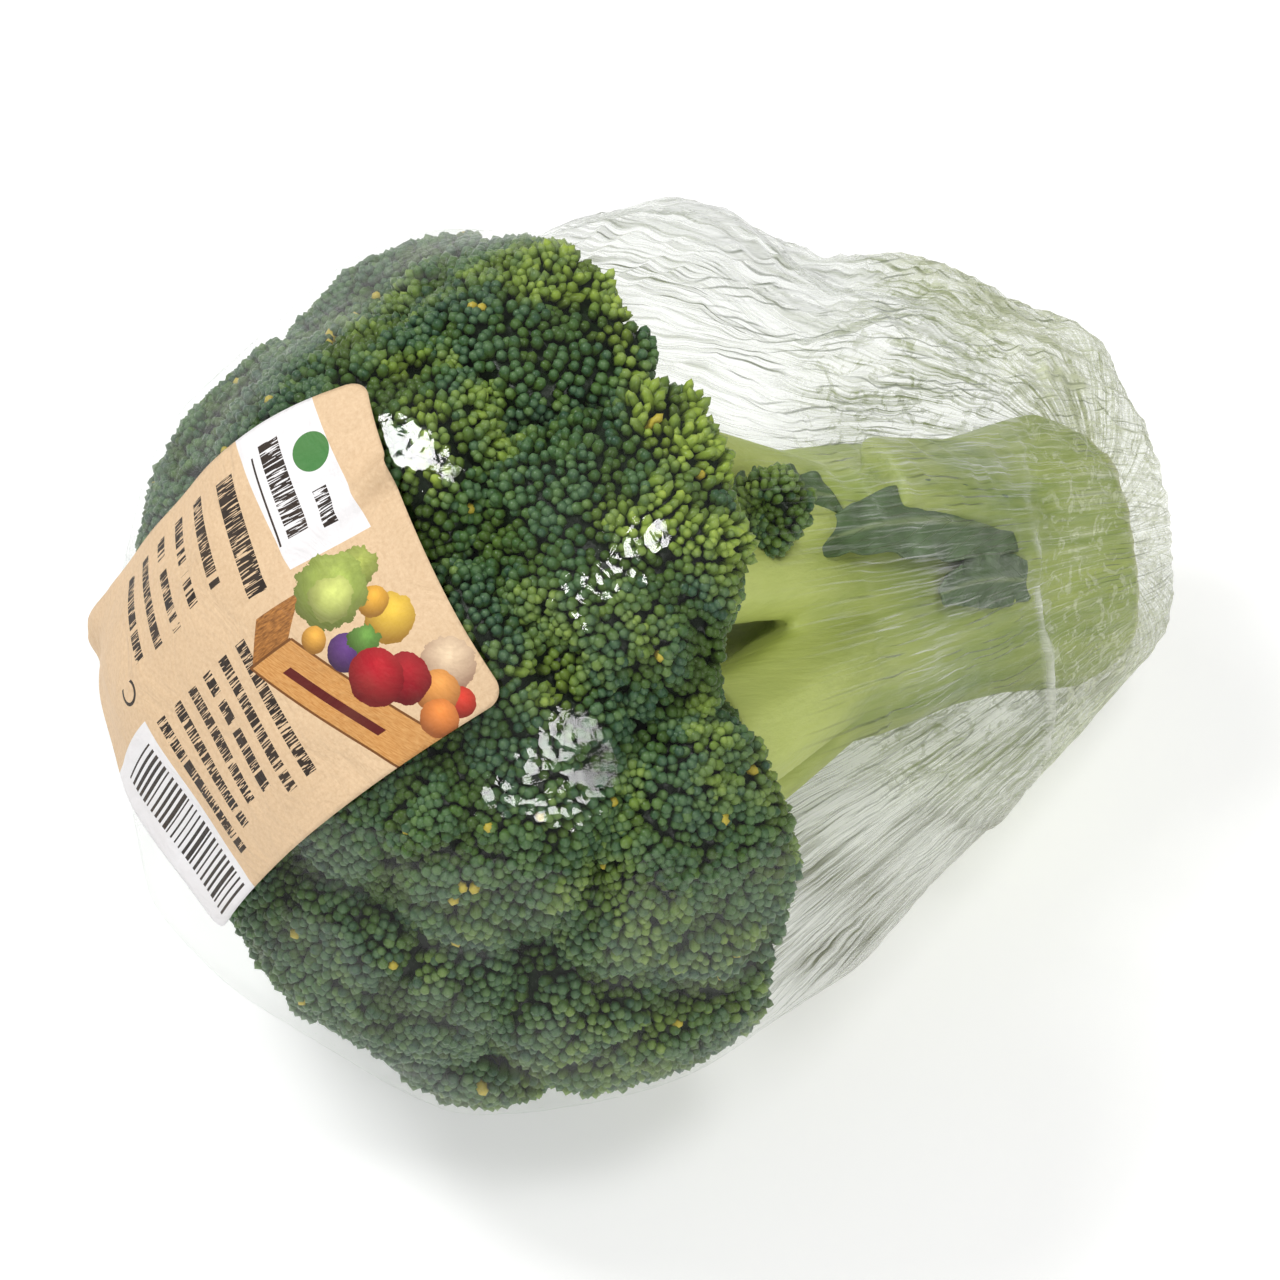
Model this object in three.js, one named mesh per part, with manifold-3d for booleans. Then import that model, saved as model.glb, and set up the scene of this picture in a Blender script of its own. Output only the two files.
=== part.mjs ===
// A head of broccoli in clear film with a paper label, lying on its side.
// Millimetres, +Z up, resting on z = 0 with the crown towards -X.
// Every piece is shaped in the plant's own frame: origin at the cut end of the stalk, +z up the
// stalk to the crown, +x on the side that lies uppermost. The last group lays the plant down.
import * as THREE from "three";
import { ImprovedNoise } from "three/addons/math/ImprovedNoise.js";
import { mergeVertices } from "three/addons/utils/BufferGeometryUtils.js";
import Module from "manifold-3d";

// Crown: a dome of florets round one centre.
const CROWN_RADIUS = 64; // centre to the bud surface
const CROWN_HEIGHT = 90; // centre above the cut end
const CROWN_CORE = 29; // centre to the inner side of every floret
const RIM_DROP = 7; // underside of the rim, below the centre
const RIM_SLANT = 6; // the rim is this much higher on one side
const RIM_SLANT_TURN = 40; // the side where it is highest, degrees
const FLORET_RADIUS = 25.5;
const FLORET_LUMPS = 2.2; // height of the swellings on a floret
const TOP_TILT = 6; // degrees off the axis
const SHOULDER_COUNT = 5;
const SHOULDER_TILT = 46;
const SHOULDER_TURN = 22; // degrees about the axis to the first floret of the ring
const RIM_COUNT = 8;
const RIM_TILT = 84;
const RIM_TURN = -20;
const SIDE_FLORET = { tilt: 70, turn: -133, radius: 14.5, proud: 4 };
const NECK_FLORET = { below: 23, off: 10.5, turn: -8, radius: 6.5 }; // off: from the stalk

// Stalk and branches.
const STALK_END_RADIUS = 21.5; // at the cut end
const STALK_WAIST_RADIUS = 19.5;
const STALK_WAIST_HEIGHT = 18;
const STALK_FORK_RADIUS = 22.5; // where the first branches leave
const STALK_FORK_HEIGHT = 48;
const STALK_TOP_DROP = 9; // stalk tip below the crown's centre
const STALK_FLUTES = 5;
const STALK_FLUTE_DEPTH = 0.8;
const RIM_BRANCH_RADIUS = 8;
const NECK_BRANCH_DROP = 25; // start of the neck floret's branch below it
const THICK_BRANCH_RADIUS = 11.5;
const SHOULDER_BRANCH_RADIUS = 6;
const TOP_BRANCH_RADIUS = 7;
const SMALL_BRANCH_RADIUS = 2.6;

// Cut leaf stalks and the small leaves that stay on the stalk.
const STUB = { width: 19, thickness: 5.5, from: 15, length: 27, turns: [6, 104, 196] };
const LEAVES = [
  { turn: -15, from: 21, length: 37, width: 12.5, lift: 3.2, lean: 3 },
  { turn: -41, from: 20, length: 18, width: 8, lift: 1.6, lean: 1 },
  { turn: 3, from: 50, length: 17, width: 9, lift: 5.5, lean: 5 },
];
const LEAF_THICKNESS = 1;

// Film and label.
const FILM_WALL = 0.5;
const FILM_END_LENGTH = 8; // gathered film beyond the cut end
const FILM_END_RADIUS = 19.5;
const FILM_SIDES = 14; // flats of the film round the neck
const FILM_MOUTH_RADIUS = 3; // opening left in the gather
const FILM_PEAKS = [
  { below: 27, out: 63, turn: 46 },
  { below: 72, out: 47, turn: 56 },
  { below: 93, out: 39, turn: 50 },
  { below: 99, out: 31, turn: 28 },
  { below: -56, out: 38.5, turn: -171 },
]; // loose folds that stand off the plant, measured from the crown's centre
const LABEL_WIDTH = 52; // along the lines of print
const LABEL_HEIGHT = 70;
const LABEL_THICKNESS = 0.6;
const LABEL_CORNER = 3;
const LABEL_TILT = 21; // degrees from the axis to the label's middle
const LABEL_TURN = -15;
const LABEL_SPIN = 7; // degrees, about the label's own middle

// How it lies.
const REST_DEPTH = 57.5; // crown's centre above the floor: the underside is pressed flat
const END_HEIGHT = 8.55; // lowest edge of the cut end above the floor
const GAP = 0.3; // clearance between neighbours

const { degToRad } = THREE.MathUtils;
const { sin, cos, min, max, PI, sqrt } = Math;
const vec = (x, y, z) => new THREE.Vector3(x, y, z);
const CENTRE = vec(0, 0, CROWN_HEIGHT);
// Angle of the axis above the floor, from the two heights.
const LIE_ANGLE = Math.asin((REST_DEPTH - END_HEIGHT) / Math.hypot(CROWN_HEIGHT, STALK_END_RADIUS))
  - Math.atan(STALK_END_RADIUS / CROWN_HEIGHT);
const UP = vec(cos(LIE_ANGLE), 0, sin(LIE_ANGLE));
const noise = new ImprovedNoise();

const wasm = await Module();
wasm.setup();

// Direction at an angle from the axis and a turn about it.
function towards(tilt, turn) {
  const a = degToRad(tilt), b = degToRad(turn);
  return vec(sin(a) * cos(b), sin(a) * sin(b), cos(a));
}

// Point at a radius from the axis, a turn about it and a height.
function around(out, turn, height) {
  return towards(90, turn).multiplyScalar(out).setZ(height);
}

function toSolid(geometry) {
  const g = geometry.clone();
  g.deleteAttribute("normal");
  g.deleteAttribute("uv");
  const merged = mergeVertices(g, 1e-4);
  const mesh = new wasm.Mesh({
    numProp: 3,
    vertProperties: new Float32Array(merged.attributes.position.array),
    triVerts: new Uint32Array(merged.index.array),
  });
  return new wasm.Manifold(mesh);
}

function toGeometry(solid) {
  const mesh = solid.getMesh();
  const g = new THREE.BufferGeometry();
  g.setAttribute("position", new THREE.BufferAttribute(new Float32Array(mesh.vertProperties), 3));
  g.setIndex(new THREE.BufferAttribute(new Uint32Array(mesh.triVerts), 1));
  g.computeVertexNormals();
  return g;
}

// Moves every vertex of a geometry with place(x, y, z).
function reshape(geometry, place) {
  const p = geometry.attributes.position;
  for (let i = 0; i < p.count; i++) {
    const v = place(p.getX(i), p.getY(i), p.getZ(i));
    p.setXYZ(i, v.x, v.y, v.z);
  }
  return geometry;
}

// Takes every blocker out of a solid and keeps its largest piece.
function clear(solid, blockers) {
  const rest = blockers.reduce((left, b) => left.subtract(b), solid);
  const bodies = rest.decompose().sort((a, b) => b.volume() - a.volume());
  return bodies[0];
}

// A cylinder bent along a curve. size(t) gives the half width and half thickness at t; the
// thickness lies along `out`. grow widens it all over.
function limb(curve, out, size, grow = 0, sides = 8, steps = 5) {
  const shape = new THREE.CylinderGeometry(1, 1, 1, sides, steps);
  return toSolid(reshape(shape, (x, y, z) => {
    const t = y + 0.5;
    const along = curve.getTangent(t);
    const thick = out.clone().addScaledVector(along, -out.dot(along)).normalize();
    const wide = vec(0, 0, 0).crossVectors(thick, along);
    const half = size(t);
    const end = t < 1e-6 ? -grow : t > 1 - 1e-6 ? grow : 0;
    return curve.getPoint(t)
      .addScaledVector(wide, z * (half.width + grow))
      .addScaledVector(thick, x * (half.thickness + grow))
      .addScaledVector(along, end);
  }));
}

// Stalk: radius against height, with shallow flutes.
const STALK_TOP = CROWN_HEIGHT - STALK_TOP_DROP;
const STALK_PROFILE = new THREE.CatmullRomCurve3([
  vec(STALK_END_RADIUS, 0, 0),
  vec(STALK_WAIST_RADIUS, 0, STALK_WAIST_HEIGHT),
  vec(STALK_FORK_RADIUS, 0, STALK_FORK_HEIGHT),
  vec(STALK_FORK_RADIUS * 0.72, 0, (STALK_FORK_HEIGHT + STALK_TOP) / 2),
  vec(STALK_FORK_RADIUS * 0.4, 0, STALK_TOP),
]);

function stalkRadius(height) {
  const points = STALK_PROFILE.getPoints(40);
  const next = points.findIndex((p) => p.z >= height);
  if (next < 1) return points[max(next, 0)].x;
  const a = points[next - 1], b = points[next];
  return a.x + ((b.x - a.x) * (height - a.z)) / (b.z - a.z);
}

function stalk(grow = 0) {
  const steps = 10;
  const profile = [new THREE.Vector2(0, -grow)];
  for (let i = 0; i <= steps; i++) {
    const p = STALK_PROFILE.getPoint(i / steps);
    const height = i === 0 ? -grow : i === steps ? p.z + grow : p.z;
    profile.push(new THREE.Vector2(p.x + grow, height));
  }
  profile.push(new THREE.Vector2(0, STALK_TOP + grow));
  const shape = new THREE.LatheGeometry(profile, 20).rotateX(PI / 2);
  return toSolid(reshape(shape, (x, y, z) => {
    const r = Math.hypot(x, y);
    const flute = r > 1 ? STALK_FLUTE_DEPTH * cos(STALK_FLUTES * Math.atan2(y, x)) : 0;
    const k = r > 1 ? (r + flute) / r : 1;
    return vec(x * k, y * k, z);
  }));
}

// Florets: a ball in the cell that it shares with its neighbours.
const florets = [];

function addFloret(name, centre, radius, limits, branch) {
  florets.push({ name, centre, radius, limits, branch, seed: florets.length * 7.3 });
}

function addDomeFloret(direction, radius, proud, rim, branch) {
  const centre = CENTRE.clone().addScaledVector(direction, CROWN_RADIUS + proud - radius);
  const limits = [{ normal: direction.clone().negate(), at: -direction.dot(CENTRE) - CROWN_CORE }];
  if (rim) limits.push({ normal: vec(0, 0, -1), at: -(CROWN_HEIGHT - rim) });
  const name = `floret_${String(florets.length + 1).padStart(2, "0")}`;
  addFloret(name, centre, radius, limits, branch);
}

// Branch of a dome floret: from inside the stalk at a height to inside the floret.
function branchTo(direction, turn, from, radius, rim) {
  const start = around(stalkRadius(from) * 0.45, turn, from);
  const end = CENTRE.clone().addScaledVector(direction, CROWN_CORE + 6);
  const middle = rim
    ? around(stalkRadius(from) + radius * 0.35, turn, (from + CROWN_HEIGHT - RIM_DROP) / 2)
    : start.clone().lerp(end, 0.5).addScaledVector(vec(0, 0, 1), -2);
  return { start, middle, end, out: towards(90, turn), radius };
}

const top = towards(TOP_TILT, 40);
addDomeFloret(top, FLORET_RADIUS, 0, 0, branchTo(top, 40, STALK_TOP - 6, TOP_BRANCH_RADIUS, false));
for (let i = 0; i < SHOULDER_COUNT; i++) {
  const turn = SHOULDER_TURN + (360 / SHOULDER_COUNT) * i;
  const d = towards(SHOULDER_TILT + 3 * sin(2.1 * i), turn);
  const branch = branchTo(d, turn, STALK_TOP - 14, SHOULDER_BRANCH_RADIUS, false);
  addDomeFloret(d, FLORET_RADIUS + 0.8 * sin(3.7 * i), 0.8 * cos(1.9 * i), 0, branch);
}
for (let i = 0; i < RIM_COUNT; i++) {
  const turn = RIM_TURN - (360 / RIM_COUNT) * i;
  const d = towards(RIM_TILT + 3 * sin(1.3 * i), turn);
  const drop = RIM_DROP - RIM_SLANT * cos(degToRad(turn - RIM_SLANT_TURN));
  const from = STALK_FORK_HEIGHT - 6 + 5 * sin(2.4 * i);
  const radius = i === 1 ? THICK_BRANCH_RADIUS : RIM_BRANCH_RADIUS;
  const branch = branchTo(d, turn, from, radius, true);
  addDomeFloret(d, FLORET_RADIUS + 0.8 * cos(2.9 * i), 0.7 * sin(4.1 * i), drop, branch);
}
{
  const { tilt, turn, radius, proud } = SIDE_FLORET;
  const d = towards(tilt, turn);
  const branch = branchTo(d, turn, STALK_FORK_HEIGHT + 4, SMALL_BRANCH_RADIUS, false);
  addDomeFloret(d, radius, proud, 0, branch);
}
{
  const { below, off, turn, radius } = NECK_FLORET;
  const out = STALK_FORK_RADIUS + off;
  const centre = around(out, turn, CROWN_HEIGHT - below);
  const start = around(STALK_FORK_RADIUS * 0.6, turn, centre.z - NECK_BRANCH_DROP);
  const middle = around(out * 0.85, turn, centre.z - NECK_BRANCH_DROP * 0.54);
  const branch = { start, middle, end: centre, out: towards(90, turn), radius: SMALL_BRANCH_RADIUS };
  const name = `floret_${String(florets.length + 1).padStart(2, "0")}`;
  addFloret(name, centre, radius, [], branch);
}

const REST = { normal: UP.clone().negate(), at: REST_DEPTH - UP.dot(CENTRE) - FILM_WALL - GAP };

// The faces of a floret's cell: one half-way to each neighbour, its own limits and the floor.
function cellOf(f) {
  const faces = florets.filter((other) => other !== f).map((other) => {
    const normal = other.centre.clone().sub(f.centre);
    const d = normal.length();
    normal.divideScalar(d);
    const half = (d + (f.radius ** 2 - other.radius ** 2) / d) / 2;
    return { normal, at: normal.dot(f.centre) + half - GAP / 2 };
  });
  return [...faces, ...f.limits, REST];
}

function floretSolid(f, grow = 0) {
  const cell = cellOf(f);
  const shape = new THREE.IcosahedronGeometry(1, 3);
  return toSolid(reshape(shape, (x, y, z) => {
    const e = vec(x, y, z).normalize();
    const swell = noise.noise(e.x * 2.3 + f.seed, e.y * 2.3, e.z * 2.3);
    const reach = f.radius + FLORET_LUMPS * swell * (f.radius / FLORET_RADIUS) + grow;
    const near = cell.reduce((t, face) => {
      const facing = face.normal.dot(e);
      return facing > 1e-6 ? min(t, (face.at + grow - face.normal.dot(f.centre)) / facing) : t;
    }, reach);
    return f.centre.clone().addScaledVector(e, near);
  }));
}

// Leaf: a thin blade that follows the stalk, pointed at its far end.
function leaf({ turn, from, length, width, lift, lean }, grow = 0) {
  const curve = new THREE.QuadraticBezierCurve3(
    around(stalkRadius(from) + lift * 0.3, turn, from),
    around(stalkRadius(from + length / 2) + lift, turn + 4, from + length / 2),
    around(stalkRadius(from + length) + lift + lean, turn, from + length),
  );
  const size = (t) => ({
    width: (width / 2) * (0.55 + 0.45 * sin(PI * min(1, 0.15 + t))),
    thickness: LEAF_THICKNESS / 2,
  });
  return limb(curve, towards(90, turn), size, grow, 10, 6);
}

// Stub: what is left of a leaf stalk after trimming.
function stub(turn, i, grow = 0) {
  const { width, thickness, from, length } = STUB;
  const low = from + 4 * i;
  const curve = new THREE.QuadraticBezierCurve3(
    around(stalkRadius(low) - thickness * 0.35, turn, low),
    around(stalkRadius(low + length / 2) + thickness * 0.25, turn, low + length / 2),
    around(stalkRadius(low + length) + thickness * 0.7, turn, low + length),
  );
  const size = (t) => ({
    width: (width / 2) * (1 - 0.08 * i) * (1 - 0.25 * t),
    thickness: (thickness / 2) * (0.8 + 0.3 * t),
  });
  return limb(curve, towards(90, turn), size, grow, 12, 4);
}

function branchSolid({ start, middle, end, out, radius }, grow = 0) {
  const curve = new THREE.QuadraticBezierCurve3(start, middle, end);
  const size = (t) => {
    const r = radius * (1.05 - 0.2 * sin(PI * t));
    return { width: r, thickness: r * 0.88 };
  };
  return limb(curve, out, size, grow);
}

// Film: the region inside a set of planes, each moved out to clear everything inside it.
function enclose(faces, grow) {
  const reach = 3 * (CROWN_RADIUS + CROWN_HEIGHT);
  const block = toSolid(new THREE.BoxGeometry(reach, reach, reach).translate(0, 0, CROWN_HEIGHT));
  return faces.reduce(
    (left, { normal, at }) => left.trimByPlane([-normal.x, -normal.y, -normal.z], -(at + grow)),
    block,
  );
}

function filmFaces(inside) {
  const points = [];
  for (const solid of inside) {
    const p = solid.getMesh().vertProperties;
    for (let i = 0; i < p.length; i += 3) points.push(vec(p[i], p[i + 1], p[i + 2]));
  }
  for (let turn = 0; turn < 360; turn += 20) {
    points.push(around(FILM_END_RADIUS, turn, -FILM_END_LENGTH));
  }
  for (const { below, out, turn } of FILM_PEAKS) points.push(around(out, turn, CROWN_HEIGHT - below));
  const corners = new THREE.IcosahedronGeometry(1, 3).attributes.position;
  const seen = new Map();
  for (let i = 0; i < corners.count; i++) {
    const n = vec().fromBufferAttribute(corners, i).normalize();
    seen.set(n.toArray().map((c) => c.toFixed(4)).join(), n);
  }
  const furthest = (normal) => points.reduce((far, p) => max(far, normal.dot(p)), -Infinity);
  const faces = [...seen.values()].map((normal) => ({ normal, at: furthest(normal) + GAP }));
  // One more ring of faces, tangent to the crown and to the cut end, draws the film straight.
  const lean = Math.asin((CROWN_RADIUS - STALK_END_RADIUS) / CROWN_HEIGHT) * (180 / PI);
  for (let turn = 10; turn < 370; turn += 360 / FILM_SIDES) {
    const normal = towards(90 + lean, turn);
    faces.push({ normal, at: furthest(normal) + GAP });
  }
  faces.push({ normal: REST.normal, at: REST.at + GAP });
  return faces;
}

// Label: a sheet wrapped over the film, its middle LABEL_TILT from the axis.
function label(faces) {
  const middle = towards(LABEL_TILT, LABEL_TURN);
  const down = vec(0, 0, 1).addScaledVector(middle, -middle.z).normalize();
  down.applyAxisAngle(middle, degToRad(LABEL_SPIN));
  const across = vec(0, 0, 0).crossVectors(middle, down);
  const radius = CROWN_RADIUS + FILM_WALL;
  const sheet = new THREE.BoxGeometry(LABEL_WIDTH, LABEL_HEIGHT, 1, 10, 13, 1);
  return toSolid(reshape(sheet, (x, y, z) => {
    const corner = Math.abs(x) > LABEL_WIDTH / 2 - 1 && Math.abs(y) > LABEL_HEIGHT / 2 - 1;
    const inset = corner ? LABEL_CORNER * (1 - sqrt(0.5)) : 0;
    const a = x - Math.sign(x) * inset, b = y - Math.sign(y) * inset;
    const arc = Math.hypot(a, b) / radius;
    const e = middle.clone().multiplyScalar(cos(arc));
    if (arc > 0) {
      const k = sin(arc) / (arc * radius);
      e.addScaledVector(across, a * k).addScaledVector(down, -b * k);
    }
    const film = faces.reduce((t, face) => {
      const facing = face.normal.dot(e);
      if (facing < 1e-6) return t;
      return min(t, (face.at + FILM_WALL - face.normal.dot(CENTRE)) / facing);
    }, Infinity);
    return CENTRE.clone().addScaledVector(e, film + (z > 0 ? LABEL_THICKNESS + 2 * GAP : GAP));
  }));
}

const material = (color, roughness, metalness = 0, extra = {}) =>
  new THREE.MeshStandardMaterial({ color, roughness, metalness, ...extra });
const budGreen = material(0x37502c, 0.75);
const stemGreen = material(0xa9b26d, 0.55);
const leafGreen = material(0x5f7350, 0.6);
const clearFilm = material(0xe9ece6, 0.12, 0, { transparent: true, opacity: 0.35 });
const kraftPaper = material(0xd9b48b, 0.8);

const plant = new THREE.Group();
plant.name = "plant";

function add(name, solid, surface) {
  const mesh = new THREE.Mesh(toGeometry(solid), surface);
  mesh.name = name;
  plant.add(mesh);
  return solid;
}

const inside = [];
const blockers = [stalk(GAP)];
inside.push(add("main_stalk", stalk(), stemGreen));
for (const f of florets) {
  inside.push(add(f.name, floretSolid(f), budGreen));
  blockers.push(floretSolid(f, GAP));
}
const thickFirst = [...florets].sort((a, b) => b.branch.radius - a.branch.radius);
for (const f of thickFirst) {
  const name = f.name.replace("floret", "branch");
  inside.push(add(name, clear(branchSolid(f.branch), blockers), stemGreen));
  blockers.push(branchSolid(f.branch, GAP));
}
LEAVES.forEach((l, i) => {
  inside.push(add(`leaf_${i + 1}`, clear(leaf(l), blockers), leafGreen));
  blockers.push(leaf(l, GAP));
});
STUB.turns.forEach((turn, i) => {
  inside.push(add(`leaf_stub_${i + 1}`, clear(stub(turn, i), blockers), stemGreen));
  blockers.push(stub(turn, i, GAP));
});

const faces = filmFaces(inside);
const mouth = toSolid(
  new THREE.CylinderGeometry(FILM_MOUTH_RADIUS, FILM_MOUTH_RADIUS, 2 * FILM_END_LENGTH, 12)
    .rotateX(PI / 2).translate(0, 0, -FILM_END_LENGTH - GAP),
);
add("film_wrap", enclose(faces, FILM_WALL).subtract(enclose(faces, 0)).subtract(mouth), clearFilm);
add("paper_label", clear(label(faces), [enclose(faces, FILM_WALL + GAP)]), kraftPaper);

// Lays the plant down and stands the origin under the middle of its box.
plant.rotation.y = LIE_ANGLE - PI / 2;
const head = new THREE.Group();
head.name = "broccoli_head";
head.add(plant);
head.updateMatrixWorld(true);
const box = new THREE.Box3().setFromObject(head, true);
plant.position.set(-(box.min.x + box.max.x) / 2, -(box.min.y + box.max.y) / 2, -box.min.z);

export default head;
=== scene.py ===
"""A head of broccoli in clear film with a paper label, lying on its side.

The plant's own frame has its origin at the cut end of the stalk, z up the stalk to the crown and x on
the side that lies uppermost. Shapes are worked out there, in metres, and then laid down.
"""
import math

import bpy
import numpy as np
from bpy.props import FloatProperty, FloatVectorProperty, IntProperty, PointerProperty
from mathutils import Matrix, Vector


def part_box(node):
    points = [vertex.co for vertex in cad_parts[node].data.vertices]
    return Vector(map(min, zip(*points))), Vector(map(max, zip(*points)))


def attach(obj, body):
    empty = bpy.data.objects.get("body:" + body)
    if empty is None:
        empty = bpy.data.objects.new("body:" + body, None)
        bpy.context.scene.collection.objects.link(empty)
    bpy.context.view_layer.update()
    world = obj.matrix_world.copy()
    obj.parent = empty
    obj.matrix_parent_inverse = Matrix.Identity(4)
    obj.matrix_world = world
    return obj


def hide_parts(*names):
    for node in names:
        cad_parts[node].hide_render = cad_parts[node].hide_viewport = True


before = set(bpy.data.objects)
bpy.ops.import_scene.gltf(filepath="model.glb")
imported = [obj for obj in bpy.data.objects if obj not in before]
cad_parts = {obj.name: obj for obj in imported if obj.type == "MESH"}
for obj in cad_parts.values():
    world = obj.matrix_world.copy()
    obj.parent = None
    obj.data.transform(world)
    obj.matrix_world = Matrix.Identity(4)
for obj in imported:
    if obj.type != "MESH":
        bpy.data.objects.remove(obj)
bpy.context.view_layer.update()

bl_info = {
    "name": "Wrapped Broccoli Head",
    "version": (1, 0, 0),
    "blender": (4, 5, 0),
    "location": "3D View > Sidebar > Broccoli",
    "description": "Florets of small buds, stalk, leaves, clear film and a paper label",
    "category": "Add Mesh",
}

STEM_NODES = [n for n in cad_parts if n.startswith(("main_stalk", "branch_", "leaf_stub_"))]
FLORET_NODES = sorted(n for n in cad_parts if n.startswith("floret_"))
MM = 0.001
RAYS_AT_ONCE = 1500
BUD_COVER = 0.0013  # least room between a bud's seat and the film, in metres
FLOOR_GAP = 0.0012  # no bud sits lower than this
SMALL_FLORET = 0.030  # a floret with a box of a shorter diagonal is set with buds all round
PAPER_COVER = 0.0013  # from the film's flats to the label


# --- Sizes and colours ---------------------------------------------------------------------------

def length(name, text, default):
    return FloatProperty(name=name, description=text, default=default, unit="LENGTH", precision=4)


def angle(name, text, degrees):
    return FloatProperty(name=name, description=text, default=math.radians(degrees), subtype="ANGLE")


def share(name, text, default):
    return FloatProperty(name=name, description=text, default=default, min=0, max=1, subtype="FACTOR")


def paint(red, green, blue):
    """Display values from 0 to 255 as linear light, by the sRGB curve."""
    parts = np.array([red, green, blue]) / 255
    line = np.where(parts <= 0.04045, parts / 12.92, ((parts + 0.055) / 1.055) ** 2.4)
    return tuple(float(c) for c in line)


def colour(name, text, *levels):
    return FloatVectorProperty(
        name=name, description=text, default=paint(*levels), size=3, min=0, max=1, subtype="COLOR"
    )


class PlantSizes(bpy.types.PropertyGroup):
    foot: FloatVectorProperty(
        name="Foot", description="Middle of the cut end", default=(0.066641, 0.000459, 0.028939),
        size=3, subtype="TRANSLATION", unit="LENGTH", precision=5,
    )
    lie: angle("Lie", "Angle of the stalk above the floor", 18.5026)
    crown_height: length("Crown height", "Crown's middle above the cut end", 0.090)
    crown_radius: length("Crown radius", "Middle of the crown to the bud tips", 0.064)
    stem_skin: length("Stem skin", "Size of the squares that the stem's skin is made of", 0.0009)
    flesh: colour("Flesh", "Pale skin of the stalk", 174, 186, 98)
    flesh_dark: colour("Flesh in shade", "Greener streaks of the stalk", 118, 142, 56)
    # Painted light: the branches near the crown are painted brighter, against the crown's shadow.
    flesh_painted_light: colour("Young flesh", "Bright skin of the branches near the crown", 214, 224, 122)
    cut: colour("Cut", "Face of the cut end", 214, 216, 168)
    leaf: colour("Leaf", "Upper side of a leaf", 74, 96, 58)
    leaf_vein: colour("Vein", "Midrib and veins of a leaf", 142, 156, 110)


class BudSizes(bpy.types.PropertyGroup):
    spacing: length("Spacing", "From one bud to the next", 0.00168)
    radius: length("Radius", "Half a bud's width", 0.00090)
    tall: length("Height", "Length of a bud with its short stalk", 0.0028)
    tuft: length("Tuft", "Width of a tuft of buds", 0.0068)
    tuft_rise: length("Tuft rise", "How far the middle of a tuft stands up", 0.0018)
    knob: length("Knob", "Width of a knob made of tufts", 0.017)
    knob_rise: length("Knob rise", "How far the middle of a knob stands up", 0.0030)
    fill: share("Fill", "How far the valleys between florets are filled", 0.45)
    widen: share("Widening", "Share of its width that a floret is widened by", 0.06)
    notch: length("Notch", "How far the rim is drawn up where the thick branch shows", 0.009)
    notch_turn: angle("Notch turn", "Of the notch about the plant's axis", -44)
    tip: colour("Tip", "Lit top of a bud", 72, 108, 40)
    tip_blue: colour("Blue tip", "Cooler tops of the buds", 42, 74, 56)
    side: colour("Side", "Young side of a bud and its stalk", 156, 180, 64)
    # Painted shade between the buds and on the core.
    painted_gap_shade: colour("Deep", "Between the buds", 14, 32, 6)
    # Painted highlights in the middle of each bud's top, plain and young.
    painted_glint: colour("Glint", "Middle of a bud's top", 108, 138, 92)
    painted_glint_young: colour("Young glint", "Middle of a young bud's top", 190, 208, 96)
    bloom: colour("Bloom", "A bud about to open", 196, 176, 64)


class FilmSizes(bpy.types.PropertyGroup):
    around: IntProperty(name="Columns", description="Steps round the film", default=336)
    wrinkle: length("Wrinkle", "Height of the small wrinkles", 0.0005)
    pleat: length("Pleat", "Height of the pleats at the gathered end", 0.0016)
    slack: length("Slack", "How far the loose film sinks between its folds", 0.0045)
    milk: colour("Milk", "Crumpled film", 238, 240, 236)
    # Painted light: the stalk's green light seen through the film, painted at its end.
    painted_stalk_light: colour("Damp", "Film pressed on the stalk's end", 200, 208, 150)
    # Painted shade on the loose film's lower side.
    shadow: colour("Shadow", "Loose film on the lower side", 150, 150, 126)
    # Painted shade along the film's fold lines.
    line: colour("Line", "Dark lines where the film doubles", 66, 80, 34)
    veil: share("Veil", "How white the loose film is", 0.55)


class LabelSizes(bpy.types.PropertyGroup):
    size: FloatVectorProperty(
        name="Size", description="Along the print, and down it", default=(0.052, 0.070),
        size=2, unit="LENGTH", precision=4,
    )
    tilt: angle("Tilt", "From the plant's axis to the label's middle", 21)
    turn: angle("Turn", "Of the label's middle about the axis", -15)
    spin: angle("Spin", "Of the label on its own middle", 7)
    corner: length("Corner", "Radius of the corners", 0.003)
    thickness: length("Thickness", "Of the paper", 0.00016)
    kraft: colour("Kraft", "Brown paper", 234, 204, 166)
    kraft_dark: colour("Kraft fibre", "Darker fibres in the paper", 204, 168, 128)
    white: colour("White", "White panels", 243, 241, 242)
    ink: colour("Ink", "Printed lines", 44, 36, 32)
    tag: colour("Tag", "Plain green disc", 74, 132, 70)


class StudioSizes(bpy.types.PropertyGroup):
    azimuth: angle("Azimuth", "Of the camera, turned from the front", -23.7)
    elevation: angle("Elevation", "Of the camera above the floor", 60)
    distance: length("Distance", "From the camera to the crown's middle", 0.618)
    lens: FloatProperty(name="Lens", description="Focal length in millimetres", default=120)
    floor: colour("Floor", "Pale floor", 252, 252, 252)


# --- Shapes --------------------------------------------------------------------------------------

def unit(v):
    """Vectors divided by their length."""
    return v / np.maximum(np.linalg.norm(v, axis=-1, keepdims=True), 1e-12)


def plant_axes(sizes):
    """The plant's x, y and z as rows: z rises by the lie towards the crown at -X, x is square to it."""
    s, c = math.sin(sizes.lie), math.cos(sizes.lie)
    return np.array([[s, 0, c], [0, 1, 0], [-c, 0, s]])


def lay_down(points, sizes):
    """Plant frame to the frame of the floor: the foot plus each coordinate along its axis."""
    return np.array(sizes.foot) + points @ plant_axes(sizes)


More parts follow.
